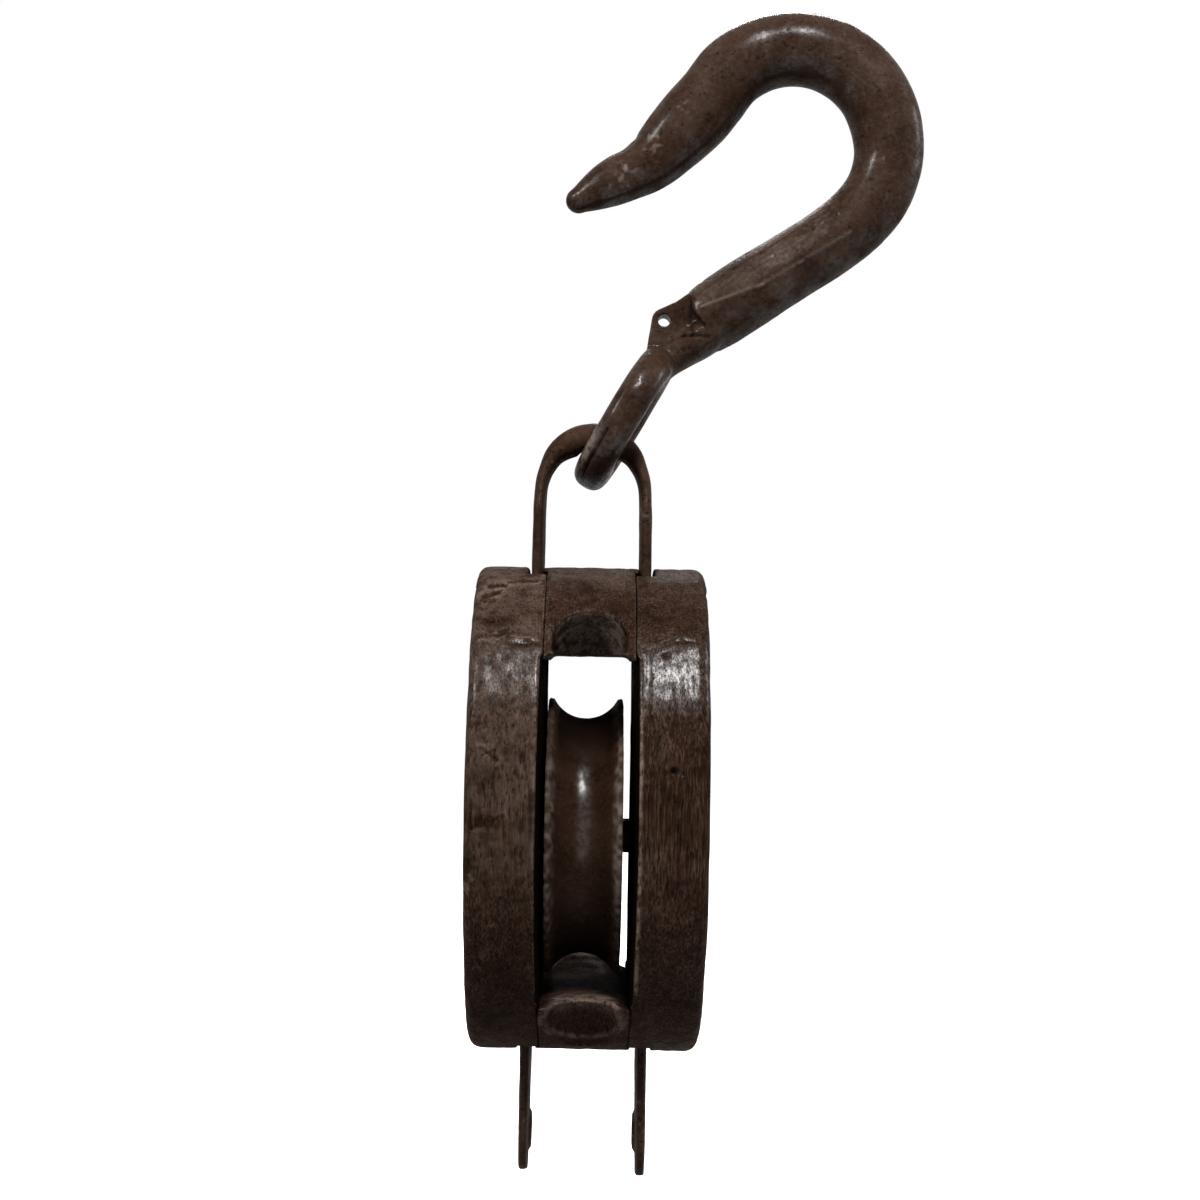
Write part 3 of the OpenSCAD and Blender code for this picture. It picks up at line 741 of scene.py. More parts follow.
def make_cheek(node, sign, seed, front_marks, arris_wear_and_highlight, pale_middle, shine):
    """One worn cheek. sign is -1 for the left one and 1 for the right one."""
    piece = melt(cad_copy(node, node + "_wood"), cheek_net, softening=2)
    points, normals = points_of(piece), normals_of(piece)
    flat = shell_plane(points)
    side, up = sign * flat[:, 0], flat[:, 1]
    front, back = facing(normals, 1, -2), facing(normals, 1, 2)
    facet, worn = hewn(points, normals, seed + 5)
    depth = wood_surface(points, seed) + facet
    for weight, (some_dents, some_scratches) in ((front, front_marks), (back, back_knocks(sign, seed))):
        marks = dents(flat, some_dents) + scratches(flat, some_scratches)
        halo = scratches(flat, [(*m[:4], m[4] * 2.2, m[5]) for m in some_scratches]) - marks
        depth += weight * marks
        worn += weight * (1.4 * np.clip(halo, 0, 1) - 1.4 * marks)
    # the inner arris is rubbed pale and also carries a painted highlight, strongest on the right cheek
    arris = np.exp(-((side - arris_at) / arris_wide) ** 2) * np.clip(up / -30 + 1.4, 0, 1)
    arris *= (up < arris_high) * (up > arris_low) * (front + back)
    worn += arris_wear_and_highlight * arris * np.clip(uneven(points, (1, 1, 5), seed + 9) + 0.8, 0, 1)
    # a pitted patch low on the left cheek's outer edge, pale partly with wear and partly as painted glints
    low_corner = np.exp(-((flat[:, 0] + 34.5) / 2) ** 2 - ((up + 18) / 8) ** 2)
    worn += 0.9 * low_corner * np.clip(uneven(points, 1.3, seed + 8), 0, 1)
    seam = np.clip((seam_reach - side) / 0.5, 0, 1) * ((up > crown_from) | (up < tail_from))
    # the seams beside the spacers are dark with dirt; the inner face, between the cheeks, is painted darker as
    # shade
    worn -= 1.1 * seam + 1.2 * facing(normals, 0, -3 * sign, -1.9)
    # the left cheek is paler from its middle up; both cheeks are painted darker near the bottom, as shade
    worn += pale_middle * np.clip(up / 25 + 1.4, 0, 1) - 0.3 * np.clip(-up / 30 - 0.9, 0, 1)
    press_in(piece, depth)
    handled = np.exp(-((up - handled_at) / handled_tall) ** 4)
    keep_wear_and_light(piece, worn, shine * (0.15 + handled * (0.4 * back + 0.85 * front)))
    return piece


left_cheek = make_cheek("left_cheek", sign=-1, seed=21, front_marks=(left_dents, left_scratches),
                        arris_wear_and_highlight=0.3, pale_middle=0.28, shine=0.65)
right_cheek = make_cheek("right_cheek", sign=1, seed=41, front_marks=(right_dents, right_scratches),
                         arris_wear_and_highlight=1.9, pale_middle=0.0, shine=1.0)

# %% [markdown]
# The two spacers carry the scooped rope leads. The crown's scoop is a narrow gouge cut, so the packed
# piece is filled up and cut once more with a slimmer gouge. Both spacers fit tightly: their sides are
# pressed a little into the cheeks, and up against the strap's legs, so that no light shows between.

# %% Tight sides
cheek_in, leg_half_w, bite = 13.6, 12, 0.15
seam_at, seam_soft = 13.2, 0.3


def tight_sides(piece, left_reach, right_reach):
    """Moves a spacer's sides out into the cheeks, and further out to the strap's legs."""
    points = points_of(piece)
    side = np.sign(points[:, 0] - shell_mid[0])
    at_side = np.abs(points[:, 0] - shell_mid[0]) > cheek_in - 0.5
    at_leg = np.clip((leg_half_w + 0.4 - np.abs(points[:, 1])) / 0.6, 0, 1)
    points[:, 0] += at_side * side * (bite + at_leg * np.where(side < 0, left_reach, right_reach))
    move_points(piece, points)


def dirty_seam(points):
    """Where a spacer meets the cheeks, as a mask from 0 to 1."""
    return np.clip((np.abs(shell_plane(points)[:, 0]) - seam_at) / seam_soft, 0, 1)


print("spacers fit", 2 * cheek_in, "mm between the cheeks")

# %% Crown
crown_low, gouge_r, gouge_y, gouge_z, gouge_lean = 48.1, 11.4, 35.5, 61.5, math.radians(44)


def gouge(side):
    """A round bar whose lower side is the valley of a scoop. It leans inwards as it falls."""
    along = np.array([0, side * math.sin(gouge_lean), math.cos(gouge_lean)])
    over_it = np.array([0, side * math.cos(gouge_lean), -math.sin(gouge_lean)])
    middle = shell_mid + (0, side * gouge_y, gouge_z) + over_it * gouge_r
    turn = around_once(96)
    circle = np.outer(np.cos(turn), (gouge_r, 0, 0)) + np.outer(np.sin(turn), over_it * gouge_r)
    return make_piece("gouge", *loft([middle + circle - along * 40, middle + circle + along * 40]))


end_angle = math.asin(crown_low / half_h)
oval_top = [(half_d * math.cos(a), half_h * math.sin(a)) for a in np.linspace(end_angle, np.pi - end_angle, 80)]
filling = make_piece("filling", *loft([[shell_mid + (x, y, z) for y, z in oval_top]
                                       for x in (-cheek_in, cheek_in)]))
crown = join("crown_wood", [cad_copy("crown_block", "crown_copy"), filling])
melt(crown, COMMON_NET)
for side in (-1, 1):
    cut(crown, gouge(side))
melt(crown, COMMON_NET, softening=2)

# %% [markdown]
# The lip of the crown's scoop is rounded by the rope and rubbed pale, and inside the scoop a few tool
# marks are left. The inside of the scoop, which faces down, is painted paler, as light.

# %% Wear of the crown
lip_across, lip_up, lip_soft = 11.6, 13.8, 0.1
flat = shell_plane(points_of(crown))
lip = np.exp(-((np.hypot(flat[:, 0] / lip_across, (flat[:, 1] - crown_low) / lip_up) - 1) / lip_soft) ** 2)
soften(crown, np.clip(lip, 0, 1), rounds=14)
points, normals = points_of(crown), normals_of(crown)
in_scoop = facing(normals, 2, -6, -1.5) * np.clip((np.abs(points[:, 1]) - 18) / 6, 0, 1)
tool_marks = scratches(flat, [(-9.5, 53.5, -7, 56, 0.9, 0.4), (-7, 56, -3, 57.5, 0.8, 0.35),
                              (-2.5, 57.6, 2, 56, 0.8, 0.3), (-10, 50, -7.5, 52.5, 1.2, 0.5),
                              (-7.5, 52.5, -6.5, 49, 1, 0.4)])
press_in(crown, wood_surface(points, 61) * (1 - 0.6 * in_scoop) + tool_marks * facing(normals, 1, -1.5))
fuzz = np.clip(uneven(points, 0.9, 63) + 0.5, 0, 1)
# painted light: the downward-facing inside of the scoop is made pale
keep_wear_and_light(crown, 0.35 * lip * fuzz * (1 - in_scoop) + 0.9 * in_scoop - 0.8 * tool_marks - dirty_seam(points),
    0.08 * (1 - in_scoop))
tight_sides(crown, left_reach=1.15, right_reach=1.15)

# %% [markdown]
# The rope has worn the tail's top into a low saddle: highest in the middle, falling to both sides, with
# a thick rounded lip over the dish in its front. At the back its crest stands up in the middle, behind
# the sheave's groove. Moving the points up or down and smoothing the crest give that.

# %% Tail
tail_top, saddle_low, saddle_drop, crest_rise = -55.5, -67, 1.6, 4.6
tail = melt(cad_copy("tail_block", "tail_wood"), COMMON_NET, softening=3)
points = points_of(tail)
flat = shell_plane(points)
upper = np.clip((flat[:, 1] - saddle_low) / (tail_top - saddle_low), 0, 1)
points[:, 2] -= saddle_drop * upper * (np.abs(flat[:, 0]) / cheek_in) ** 2.2
back_crest = np.exp(-((flat[:, 0] - 0.5) / 9.5) ** 6) * np.clip((points[:, 1] - 12) / 14, 0, 1) ** 2
points[:, 2] += crest_rise * upper * back_crest
move_points(tail, points)
crest = np.clip(upper * 3 - 1.4, 0, 1) * np.exp(-((np.abs(points[:, 1]) - 31) / 5) ** 2)
soften(tail, crest, rounds=40)

# %% [markdown]
# The rounded lip round the front dish is rubbed pale, and the seams at the cheeks are dark with dirt.
# Light and shade are painted on the top: both crests, the back one most, and the front part of the top
# are painted paler as light; the top behind that is painted darker as the sheave's shadow, the top
# beside the cheeks darker as the shadow of the sheave's flanges, and the inside of the dish darker as
# shade.

# %% Wear of the tail
dish_mid, dish_across, dish_up = (-0.4, -61), 10.8, 6.6
points, normals = points_of(tail), normals_of(tail)
flat, front, top = shell_plane(points), facing(normals, 1, -2), facing(normals, 2, 2)
round_dish = np.hypot((flat[:, 0] - dish_mid[0]) / dish_across, (flat[:, 1] - dish_mid[1]) / dish_up)
roll = np.exp(-((round_dish - 1.12) / 0.14) ** 2) * front
press_in(tail, wood_surface(points, 71) * 0.7 - 0.7 * roll)
# painted shadow of the sheave's flanges: the top beside the cheeks
sides = np.clip((np.abs(flat[:, 0]) - 8) / 4, 0, 1) * top
# painted shadow of the sheave: the top behind its lit front part
shadowed_top = facing(normals, 2, 2, -0.6) * (1 - crest)
# painted light: the crests, the back one most, lit from behind through the groove
lit_crest = crest * np.where(points[:, 1] > 0, 2.4 * np.exp(-((flat[:, 0] - 0.5) / 5) ** 4), 0.75)
# painted light: the front part of the top, where the lamp reaches it
lit_front_top = top * np.clip((-14 - points[:, 1]) / 10, 0, 1)
pale_parts = 0.6 * roll + lit_crest * (1 - sides) + 0.45 * lit_front_top
# the top and its sides are painted darker as shadow, and the inside of the dish as shade
dark_parts = 0.4 * shadowed_top * (1 - lit_front_top) + 0.6 * sides + 0.2 * front * (round_dish < 0.95)
keep_wear_and_light(tail, pale_parts - dark_parts - dirty_seam(points), 0)
tight_sides(tail, left_reach=1.3, right_reach=0.6)

# %% [markdown]
# ## Node trees
# Geometry Nodes and shader groups are both trees with named sockets, so one small helper starts a tree
# and another adds a node. An input is given either a socket to link from or a plain value.

# %% Tree helpers
FLOAT, INT, VECTOR, COLOUR = "NodeSocketFloat", "NodeSocketInt", "NodeSocketVector", "NodeSocketColor"
GEOMETRY, OBJECT, MATERIAL = "NodeSocketGeometry", "NodeSocketObject", "NodeSocketMaterial"


def new_tree(name, kind, inputs, outputs):
    """A node group with named sockets, and its input and output nodes."""
    tree = bpy.data.node_groups.new(name, kind)
    for label, socket, value in inputs:
        made = tree.interface.new_socket(name=label, in_out="INPUT", socket_type=socket)
        if value is not None:
            made.default_value = value
    for label, socket in outputs:
        tree.interface.new_socket(name=label, in_out="OUTPUT", socket_type=socket)
    return tree, tree.nodes.new("NodeGroupInput").outputs, tree.nodes.new("NodeGroupOutput").inputs


def add(tree, kind, inputs=None, **settings):
    """A new node in a tree."""
    made = tree.nodes.new(kind)
    for key, value in settings.items():
        setattr(made, key, value)
    for key, value in (inputs or {}).items():
        if isinstance(value, bpy.types.NodeSocket):
            tree.links.new(value, made.inputs[key])
        else:
            made.inputs[key].default_value = value
    return made


print("sockets are named for", FLOAT, INT, VECTOR, COLOUR)

# %% Finish and run a geometry tree
def finish_tree(tree, geometry, given, result):
    """Ends a geometry tree: real geometry with its material, because the export drops instances."""
    real = add(tree, "GeometryNodeRealizeInstances", {"Geometry": geometry}).outputs[0]
    done = add(tree, "GeometryNodeSetMaterial", {"Geometry": real, "Material": given["Material"]}).outputs[0]
    tree.links.new(done, result["Geometry"])


def run_tree(piece, tree, **values):
    """Runs a geometry tree on a piece and keeps the result as plain mesh. Values go in by socket identifier."""
    run = piece.modifiers.new(tree.name, "NODES")
    run.node_group = tree
    for item in tree.interface.items_tree:
        if item.in_out == "INPUT" and item.name.replace(" ", "_") in values:
            run[item.identifier] = values[item.name.replace(" ", "_")]
    bake(piece)
    print(piece.name, len(piece.data.polygons), "faces from", tree.name)
    return piece


test_tree, given, result = new_tree("test tree", "GeometryNodeTree", [("Geometry", GEOMETRY, None),
                                    ("Material", MATERIAL, None)], [("Geometry", GEOMETRY)])
finish_tree(test_tree, given["Geometry"], given, result)
print("a tree that only finishes has", len(test_tree.nodes), "nodes")
bpy.data.node_groups.remove(test_tree)

# %% [markdown]
# ## Finishes
# The whole block is dark brown, so its finishes differ in relief and gloss more than in colour. Four
# effects are shared: upright fibres, scattered pits, worn edges and a mottled patina. Each is a shader
# group that gives masks and values, and each finish sets its own sizes.

# %% Maths in a tree
MIX_A, MIX_B, MIX_COLOUR = 6, 7, 2


def mixed(tree, factor, a, b, blend="MIX"):
    """A colour between two others."""
    return add(tree, "ShaderNodeMix", {0: factor, MIX_A: a, MIX_B: b}, data_type="RGBA",
               blend_type=blend).outputs[MIX_COLOUR]


def maths(tree, operation, a, b, clamp=False):
    """The output of one maths node."""
    return add(tree, "ShaderNodeMath", {0: a, 1: b}, operation=operation, use_clamp=clamp).outputs[0]


def times(tree, first, *others):
    """The product of several values."""
    for other in others:
        first = maths(tree, "MULTIPLY", first, other)
    return first


def largest(tree, first, *others):
    """The largest of several values."""
    for other in others:
        first = maths(tree, "MAXIMUM", first, other)
    return first


print("a colour mix reads sockets", MIX_A, "and", MIX_B)

# %% Vectors, ranges and noise in a tree
def vector_maths(tree, operation, inputs):
    """The output of one vector maths node."""
    return add(tree, "ShaderNodeVectorMath", inputs, operation=operation).outputs[0]


def spread(tree, value, low, high, to_low=0.0, to_high=1.0):
    """A value stretched from one range to another, softly."""
    return add(tree, "ShaderNodeMapRange",
               {"Value": value, "From Min": low, "From Max": high, "To Min": to_low, "To Max": to_high},
               interpolation_type="SMOOTHSTEP").outputs["Result"]


def noise(tree, place, detail, roughness=0.5, size=None, scale=1.0):
    """Noise at a place. size is a socket with the width of its lumps, and scale is a plain number."""
    if size is not None:
        place = vector_maths(tree, "SCALE", {0: place, "Scale": maths(tree, "DIVIDE", 1.0, size)})
    return add(tree, "ShaderNodeTexNoise", {"Vector": place, "Scale": scale, "Detail": detail,
                                            "Roughness": roughness}).outputs


test_tree, given, result = new_tree("test tree", "ShaderNodeTree", [("Place", VECTOR, None),
                                    ("Size", FLOAT, 1.0)], [])
noise(test_tree, given["Place"], 1.0, size=given["Size"])
print("noise of a chosen size takes", len(test_tree.nodes) - 2, "nodes")
bpy.data.node_groups.remove(test_tree)

# %% Group: fibres
fibres, given, result = new_tree("fibres", "ShaderNodeTree",
                                 [("Place", VECTOR, None), ("Width", FLOAT, 0.0005), ("Length", FLOAT, 0.008),
                                  ("Sway", FLOAT, 0.0008)], [("Fibres", FLOAT), ("Pores", FLOAT)])
slow = noise(fibres, given["Place"], 1.0, scale=45.0)
swayed = vector_maths(fibres, "SCALE", {0: slow["Color"], "Scale": given["Sway"]})
moved = vector_maths(fibres, "ADD", {0: given["Place"], 1: swayed})
fibre_size = add(fibres, "ShaderNodeCombineXYZ",
                 {"X": given["Width"], "Y": given["Width"], "Z": given["Length"]}).outputs[0]
stretched = vector_maths(fibres, "DIVIDE", {0: moved, 1: fibre_size})
grain = noise(fibres, stretched, 3.0, 0.6)
pore = noise(fibres, vector_maths(fibres, "MULTIPLY", {0: stretched, 1: (0.6, 0.6, 3.0)}), 1.0)
fibres.links.new(spread(fibres, grain["Fac"], 0.3, 0.7), result["Fibres"])
fibres.links.new(spread(fibres, pore["Fac"], 0.60, 0.70), result["Pores"])
print("fibres group:", len(fibres.nodes), "nodes")

# %% Group: pits
pits, given, result = new_tree("pits", "ShaderNodeTree",
                               [("Place", VECTOR, None), ("Size", FLOAT, 0.0015), ("Amount", FLOAT, 0.3)],
                               [("Pits", FLOAT)])
spots = noise(pits, given["Place"], 2.0, size=given["Size"])
start = maths(pits, "SUBTRACT", 0.72, times(pits, given["Amount"], 0.25))
pits.links.new(spread(pits, spots["Fac"], start, maths(pits, "ADD", start, 0.08)), result["Pits"])
print("pits group:", len(pits.nodes), "nodes")

# %% Group: worn edges
worn_edges, given, result = new_tree("worn edges", "ShaderNodeTree",
                                     [("Place", VECTOR, None), ("From", FLOAT, 0.52), ("To", FLOAT, 0.60),
                                      ("Break up", FLOAT, 0.003)], [("Worn", FLOAT), ("Hollow", FLOAT)])
bend = add(worn_edges, "ShaderNodeNewGeometry").outputs["Pointiness"]
patchy = spread(worn_edges, noise(worn_edges, given["Place"], 4.0, size=given["Break up"])["Fac"], 0.35, 0.6)
edge = spread(worn_edges, bend, given["From"], given["To"])
worn_edges.links.new(times(worn_edges, edge, patchy), result["Worn"])
worn_edges.links.new(spread(worn_edges, bend, 0.485, 0.42), result["Hollow"])
print("worn edges group:", len(worn_edges.nodes), "nodes")

# %% Group: patina
patina, given, result = new_tree("patina", "ShaderNodeTree",
                                 [("Place", VECTOR, None), ("Size", FLOAT, 0.012), ("Dark", COLOUR, None),
                                  ("Middle", COLOUR, None), ("Light", COLOUR, None)],
                                 [("Colour", COLOUR), ("Patches", FLOAT)])
broad = noise(patina, given["Place"], 6.0, 0.62, size=given["Size"])["Fac"]
low_part = mixed(patina, spread(patina, broad, 0.3, 0.52), given["Dark"], given["Middle"])
patina.links.new(mixed(patina, spread(patina, broad, 0.5, 0.72), low_part, given["Light"]), result["Colour"])
patina.links.new(spread(patina, broad, 0.35, 0.65), result["Patches"])
print("patina group:", len(patina.nodes), "nodes")

# %% [markdown]
# A finish is a Principled shader fed by those groups. The relief is summed as one height and goes
# through one Bump node. Dry old wood and oxidised iron reflect little straight on, so the shader's own
# specular level is low, and what shines is a thin coat, only as strong as the piece's own "polished"
# attribute says. The other attribute mixes in a pale colour, for wear and painted highlights, and a
# dark one, for dirt and painted shade.

# %% Finish helpers
def opaque(*rgb):
    """A colour with full opacity."""
    return (*rgb, 1.0)


WHITE = opaque(1, 1, 1)
warm_gloss = opaque(1, 0.80, 0.68)
coat_ior = 3.0


def start_finish(name, specular):
    """A new material: its tree, its Principled shader and the place of each point on the piece."""
    made = bpy.data.materials.new(name)
    made.use_nodes = True
    shader = made.node_tree.nodes["Principled BSDF"]
    shader.inputs["Specular IOR Level"].default_value = specular
    shader.inputs["Specular Tint"].default_value = warm_gloss
    shader.inputs["Coat IOR"].default_value = coat_ior
    return made, made.node_tree, shader, add(made.node_tree, "ShaderNodeTexCoord").outputs["Object"]


def effect(tree, group, place, **values):
    """One shared effect, placed in a material with its own values."""
    made = add(tree, "ShaderNodeGroup", node_tree=group)
    tree.links.new(place, made.inputs["Place"])
    for label, value in values.items():
        made.inputs[label.replace("_", " ")].default_value = value
    return made.outputs


def relief(tree, shader, distance, *layers):
    """Sums layers, each a height and its share, into one bump."""
    total = 0.0
    for height, share in layers:
        total = add(tree, "ShaderNodeMath", {0: height, 1: share, 2: total},
                    operation="MULTIPLY_ADD").outputs[0]
    bump = add(tree, "ShaderNodeBump", {"Strength": 1.0, "Distance": distance * MM, "Height": total})
    tree.links.new(bump.outputs["Normal"], shader.inputs["Normal"])


print("shared effects:", [group.name for group in (fibres, pits, worn_edges, patina)])

# %% Rubbed and polished places
def wear_and_light_masks(tree):
    """How pale, how dark and how polished a piece's own attributes make a point."""
    wear_and_light = add(tree, "ShaderNodeAttribute", attribute_name="wear_and_light").outputs["Fac"]
    polished = add(tree, "ShaderNodeAttribute", attribute_name="polished").outputs["Fac"]
    return spread(tree, wear_and_light, 0.0, 1.0), spread(tree, wear_and_light, 0.0, -1.0), polished


def coat(tree, shader, shine, dark_rub, polished, least, most):
    """A thin coat over clean places, from its least weight to its most where the piece is polished."""
    clean = maths(tree, "SUBTRACT", 1.0, dark_rub, clamp=True)
    strength = spread(tree, polished, 0, 1, least, most)
    tree.links.new(times(tree, shine, clean, strength), shader.inputs["Coat Weight"])


pieces_with_wear_and_light = [o.name for o in bpy.data.objects if o.type == "MESH" and "wear_and_light" in o.data.attributes]
print("pieces that keep how rubbed they are:", pieces_with_wear_and_light)

# %% [markdown]
# The wood is a dense dark hardwood, oiled and handled for a century. Its fibres run upright: dark pores
# and grain lines between raised fibres that are rubbed paler. Where the fibres are polished, a thin
# coat breaks the lamp's reflection into fine upright streaks.

# %% Old wood: colour
wood_tones = {"Dark": opaque(0.018, 0.0084, 0.0047), "Middle": opaque(0.038, 0.0192, 0.0116),
              "Light": opaque(0.072, 0.0430, 0.0305)}
grain_line, raised_fibre = opaque(0.0085, 0.0038, 0.0022), opaque(0.125, 0.086, 0.066)
# a pale colour for wear and painted highlights, and a near-black one for dirt and painted shade
worn_and_lit_wood, wood_dirt_and_shade = opaque(0.170, 0.124, 0.098), opaque(0.003, 0.0015, 0.0010)
wood, tree, shader, place = start_finish("old_wood", 0.010)
tone = effect(tree, patina, place, Size=0.014, **wood_tones)
smudge = effect(tree, patina, place, Size=0.0035)
fine = effect(tree, fibres, place, Width=0.00045, Length=0.012, Sway=0.0006)
coarse = effect(tree, fibres, place, Width=0.0011, Length=0.032, Sway=0.0012)
wear = effect(tree, worn_edges, place, From=0.515, To=0.58, Break_up=0.004)
pale_wear_and_light, dark_rub, polished = wear_and_light_masks(tree)
grain_dark = largest(tree, spread(tree, fine["Fibres"], 0.15, 0.70, 0.75, 0.0),
                     spread(tree, coarse["Fibres"], 0.1, 0.6, 0.55, 0.0))
grained = mixed(tree, grain_dark, tone["Colour"], grain_line)
raised = times(tree, spread(tree, fine["Fibres"], 0.55, 1.0), smudge["Patches"], 0.24)
lifted = mixed(tree, raised, grained, raised_fibre)
pale = largest(tree, times(tree, wear["Worn"], 0.5),
               times(tree, pale_wear_and_light, spread(tree, smudge["Patches"], 0.0, 0.8, 0.35, 1.0)))
wear_and_light = mixed(tree, pale, lifted, worn_and_lit_wood)
checks = largest(tree, times(tree, fine["Pores"], 0.68), times(tree, coarse["Pores"], 0.50))
tree.links.new(mixed(tree, largest(tree, checks, wear["Hollow"], dark_rub), wear_and_light, wood_dirt_and_shade),
               shader.inputs["Base Color"])
print("old wood's colour:", len(tree.nodes), "nodes")

# %% Old wood: gloss and relief
smooth_spots = spread(tree, smudge["Patches"], 0.0, 1.0, 0.0, 0.08)
dull = spread(tree, polished, 0.0, 0.5, 0.75, 0.40)
tree.links.new(maths(tree, "MAXIMUM", maths(tree, "SUBTRACT", dull, smooth_spots), dark_rub, clamp=True),
               shader.inputs["Roughness"])
shader.inputs["Coat Roughness"].default_value = 0.27
streaks = times(tree, spread(tree, fine["Fibres"], 0.10, 0.80, 0.30, 1.0),
                spread(tree, coarse["Fibres"], 0.15, 0.65, 0.45, 1.0),
                spread(tree, smudge["Patches"], 0.0, 0.6, 0.8, 1.0))
coat(tree, shader, streaks, dark_rub, polished, least=0.008, most=0.095)
holes = effect(tree, pits, place, Size=0.0012, Amount=0.35)
wood_relief = 0.22
relief(tree, shader, wood_relief, (fine["Fibres"], 0.6), (coarse["Fibres"], 0.6), (checks, -0.9),
       (holes["Pits"], -0.8), (smudge["Patches"], 0.35))
print("old wood:", len(tree.nodes), "nodes")

# %% [markdown]
# Forged iron keeps a thin brown-black oxide. It is smoother than the wood between its pits, so broken
# highlights run along its ridges, and high spots are rubbed to a paler grey-brown. The sheave and the
# bush have the same kind of finish with their own colours, pits and polish.

# %% Forged iron, sheave iron and bronze
# the pale iron colour stands for wear and painted highlights, the near-black one below for dirt and painted
# shade
fleck, worn_and_lit_iron = opaque(0.070, 0.046, 0.034), opaque(0.150, 0.118, 0.100)
iron_dirt_and_shade = opaque(0.005, 0.0026, 0.0018)


def iron_finish(name, tones, specular, lump, rough, pit_amount, relief_mm, coat_most, coat_rough):
    """A metal finish. tones are its dark, middle and light colour, rough its roughness from low to high."""
    made, tree, shader, place = start_finish(name, specular)
    tone = effect(tree, patina, place, Size=0.012, Dark=opaque(*tones[0]), Middle=opaque(*tones[1]),
                  Light=opaque(*tones[2]))
    small = effect(tree, patina, place, Size=lump)
    holes = effect(tree, pits, place, Size=0.0016, Amount=pit_amount)
    tiny = effect(tree, pits, place, Size=0.0007, Amount=0.4)
    wear = effect(tree, worn_edges, place, From=0.52, To=0.60, Break_up=0.003)
    pale_wear_and_light, dark_rub, polished = wear_and_light_masks(tree)
    flecked = mixed(tree, spread(tree, small["Patches"], 0.5, 1.0, 0.0, 0.15), tone["Colour"], fleck)
    wear_and_light = mixed(tree, largest(tree, times(tree, wear["Worn"], 0.4), pale_wear_and_light), flecked, worn_and_lit_iron)
    dark = largest(tree, times(tree, holes["Pits"], 0.7), wear["Hollow"], dark_rub)
    tree.links.new(mixed(tree, dark, wear_and_light, iron_dirt_and_shade), shader.inputs["Base Color"])
    matt = spread(tree, polished, 0.0, 0.5, 0.7, 0.0)
    lumpy = spread(tree, small["Patches"], 0.0, 1.0, rough[1], rough[0])
    tree.links.new(largest(tree, lumpy, matt, dark_rub), shader.inputs["Roughness"])
    shader.inputs["Coat Roughness"].default_value = coat_rough
    shine = times(tree, spread(tree, small["Patches"], 0.0, 0.8, 0.45, 1.0),
                  spread(tree, tone["Patches"], 0.0, 0.9, 0.6, 1.0))
    coat(tree, shader, shine, dark_rub, polished, least=0.005, most=coat_most)
    relief(tree, shader, relief_mm, (small["Patches"], 0.7), (holes["Pits"], -1.0), (tiny["Pits"], -0.4))
    print(name, len(tree.nodes), "nodes")
    return made


iron = iron_finish("forged_iron", ((0.018, 0.0086, 0.0052), (0.032, 0.0167, 0.0106), (0.046, 0.0262, 0.0180)),
                   specular=0.020, lump=0.0015, rough=(0.26, 0.38), pit_amount=0.40, relief_mm=0.11,
                   coat_most=0.075, coat_rough=0.22)
sheave_iron = iron_finish("sheave_iron",
                          ((0.013, 0.0058, 0.0034), (0.025, 0.0125, 0.0076), (0.034, 0.0190, 0.0125)),
                          specular=0.015, lump=0.0016, rough=(0.26, 0.38), pit_amount=0.30, relief_mm=0.05,
                          coat_most=0.115, coat_rough=0.28)
bronze = iron_finish("bush_bronze", ((0.020, 0.0110, 0.0050), (0.050, 0.0290, 0.0120), (0.110, 0.0640, 0.0260)),
                     specular=0.18, lump=0.0020, rough=(0.30, 0.45), pit_amount=0.20, relief_mm=0.05,
                     coat_most=0.03, coat_rough=0.22)

# %% [markdown]
# ## The sheave
# The sheave is a cast wheel, turned to a smooth groove that fits the rope, with a recess on both faces and
# a bronze bush. Its shape follows one rule, an outline carried round the pin, so Geometry Nodes turn it:
# the outline is swept along a circle, and a seeded noise then roughens the casting a little.

# %% The sheave's outline
sheave_low, sheave_high = (np.array(c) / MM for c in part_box("sheave"))
sheave_r = (sheave_high[2] - sheave_low[2]) / 2
sheave_w = sheave_high[0] - sheave_low[0]
sheave_x = (sheave_high[0] + sheave_low[0]) / 2
groove_depth, lip_w, bush_r, web_t, hub_wall, rim_wall = 6.4, 1.5, 9, 11, 5, 5.5
half_w, groove_half = sheave_w / 2, sheave_w / 2 - lip_w
groove_r = (groove_half ** 2 + groove_depth ** 2) / (2 * groove_depth)
hub_r, rim_in = bush_r + hub_wall, sheave_r - groove_depth - rim_wall
edge_r = 0.4
hub_face = [(bush_r, 0), (bush_r, half_w - edge_r), (bush_r + edge_r, half_w), (hub_r - edge_r, half_w),
            (hub_r, half_w - edge_r)]
web_face = [(hub_r + 1.2, web_t / 2 + 0.5), (hub_r + 2, web_t / 2), (rim_in - 2, web_t / 2),
            (rim_in - 1.2, web_t / 2 + 0.5)]
rim_face = [(rim_in - edge_r, half_w - edge_r), (rim_in, half_w), (sheave_r - 0.6, half_w),
            (sheave_r - 0.15, half_w - 0.2), (sheave_r, half_w - 0.7), (sheave_r - 0.2, groove_half + 0.3)]
groove_reach = math.asin(groove_half / groove_r)
groove = [(sheave_r - groove_depth + groove_r * (1 - math.cos(a)), groove_r * math.sin(a))
          for a in np.linspace(groove_reach * 0.98, 0, 20)]
half_outline = hub_face + web_face + rim_face + groove
outline = np.array(half_outline + [(r, -x) for r, x in half_outline[-2:0:-1]])
print("sheave radius", round(sheave_r, 2), "width", round(sheave_w, 2), "outline points", len(outline))

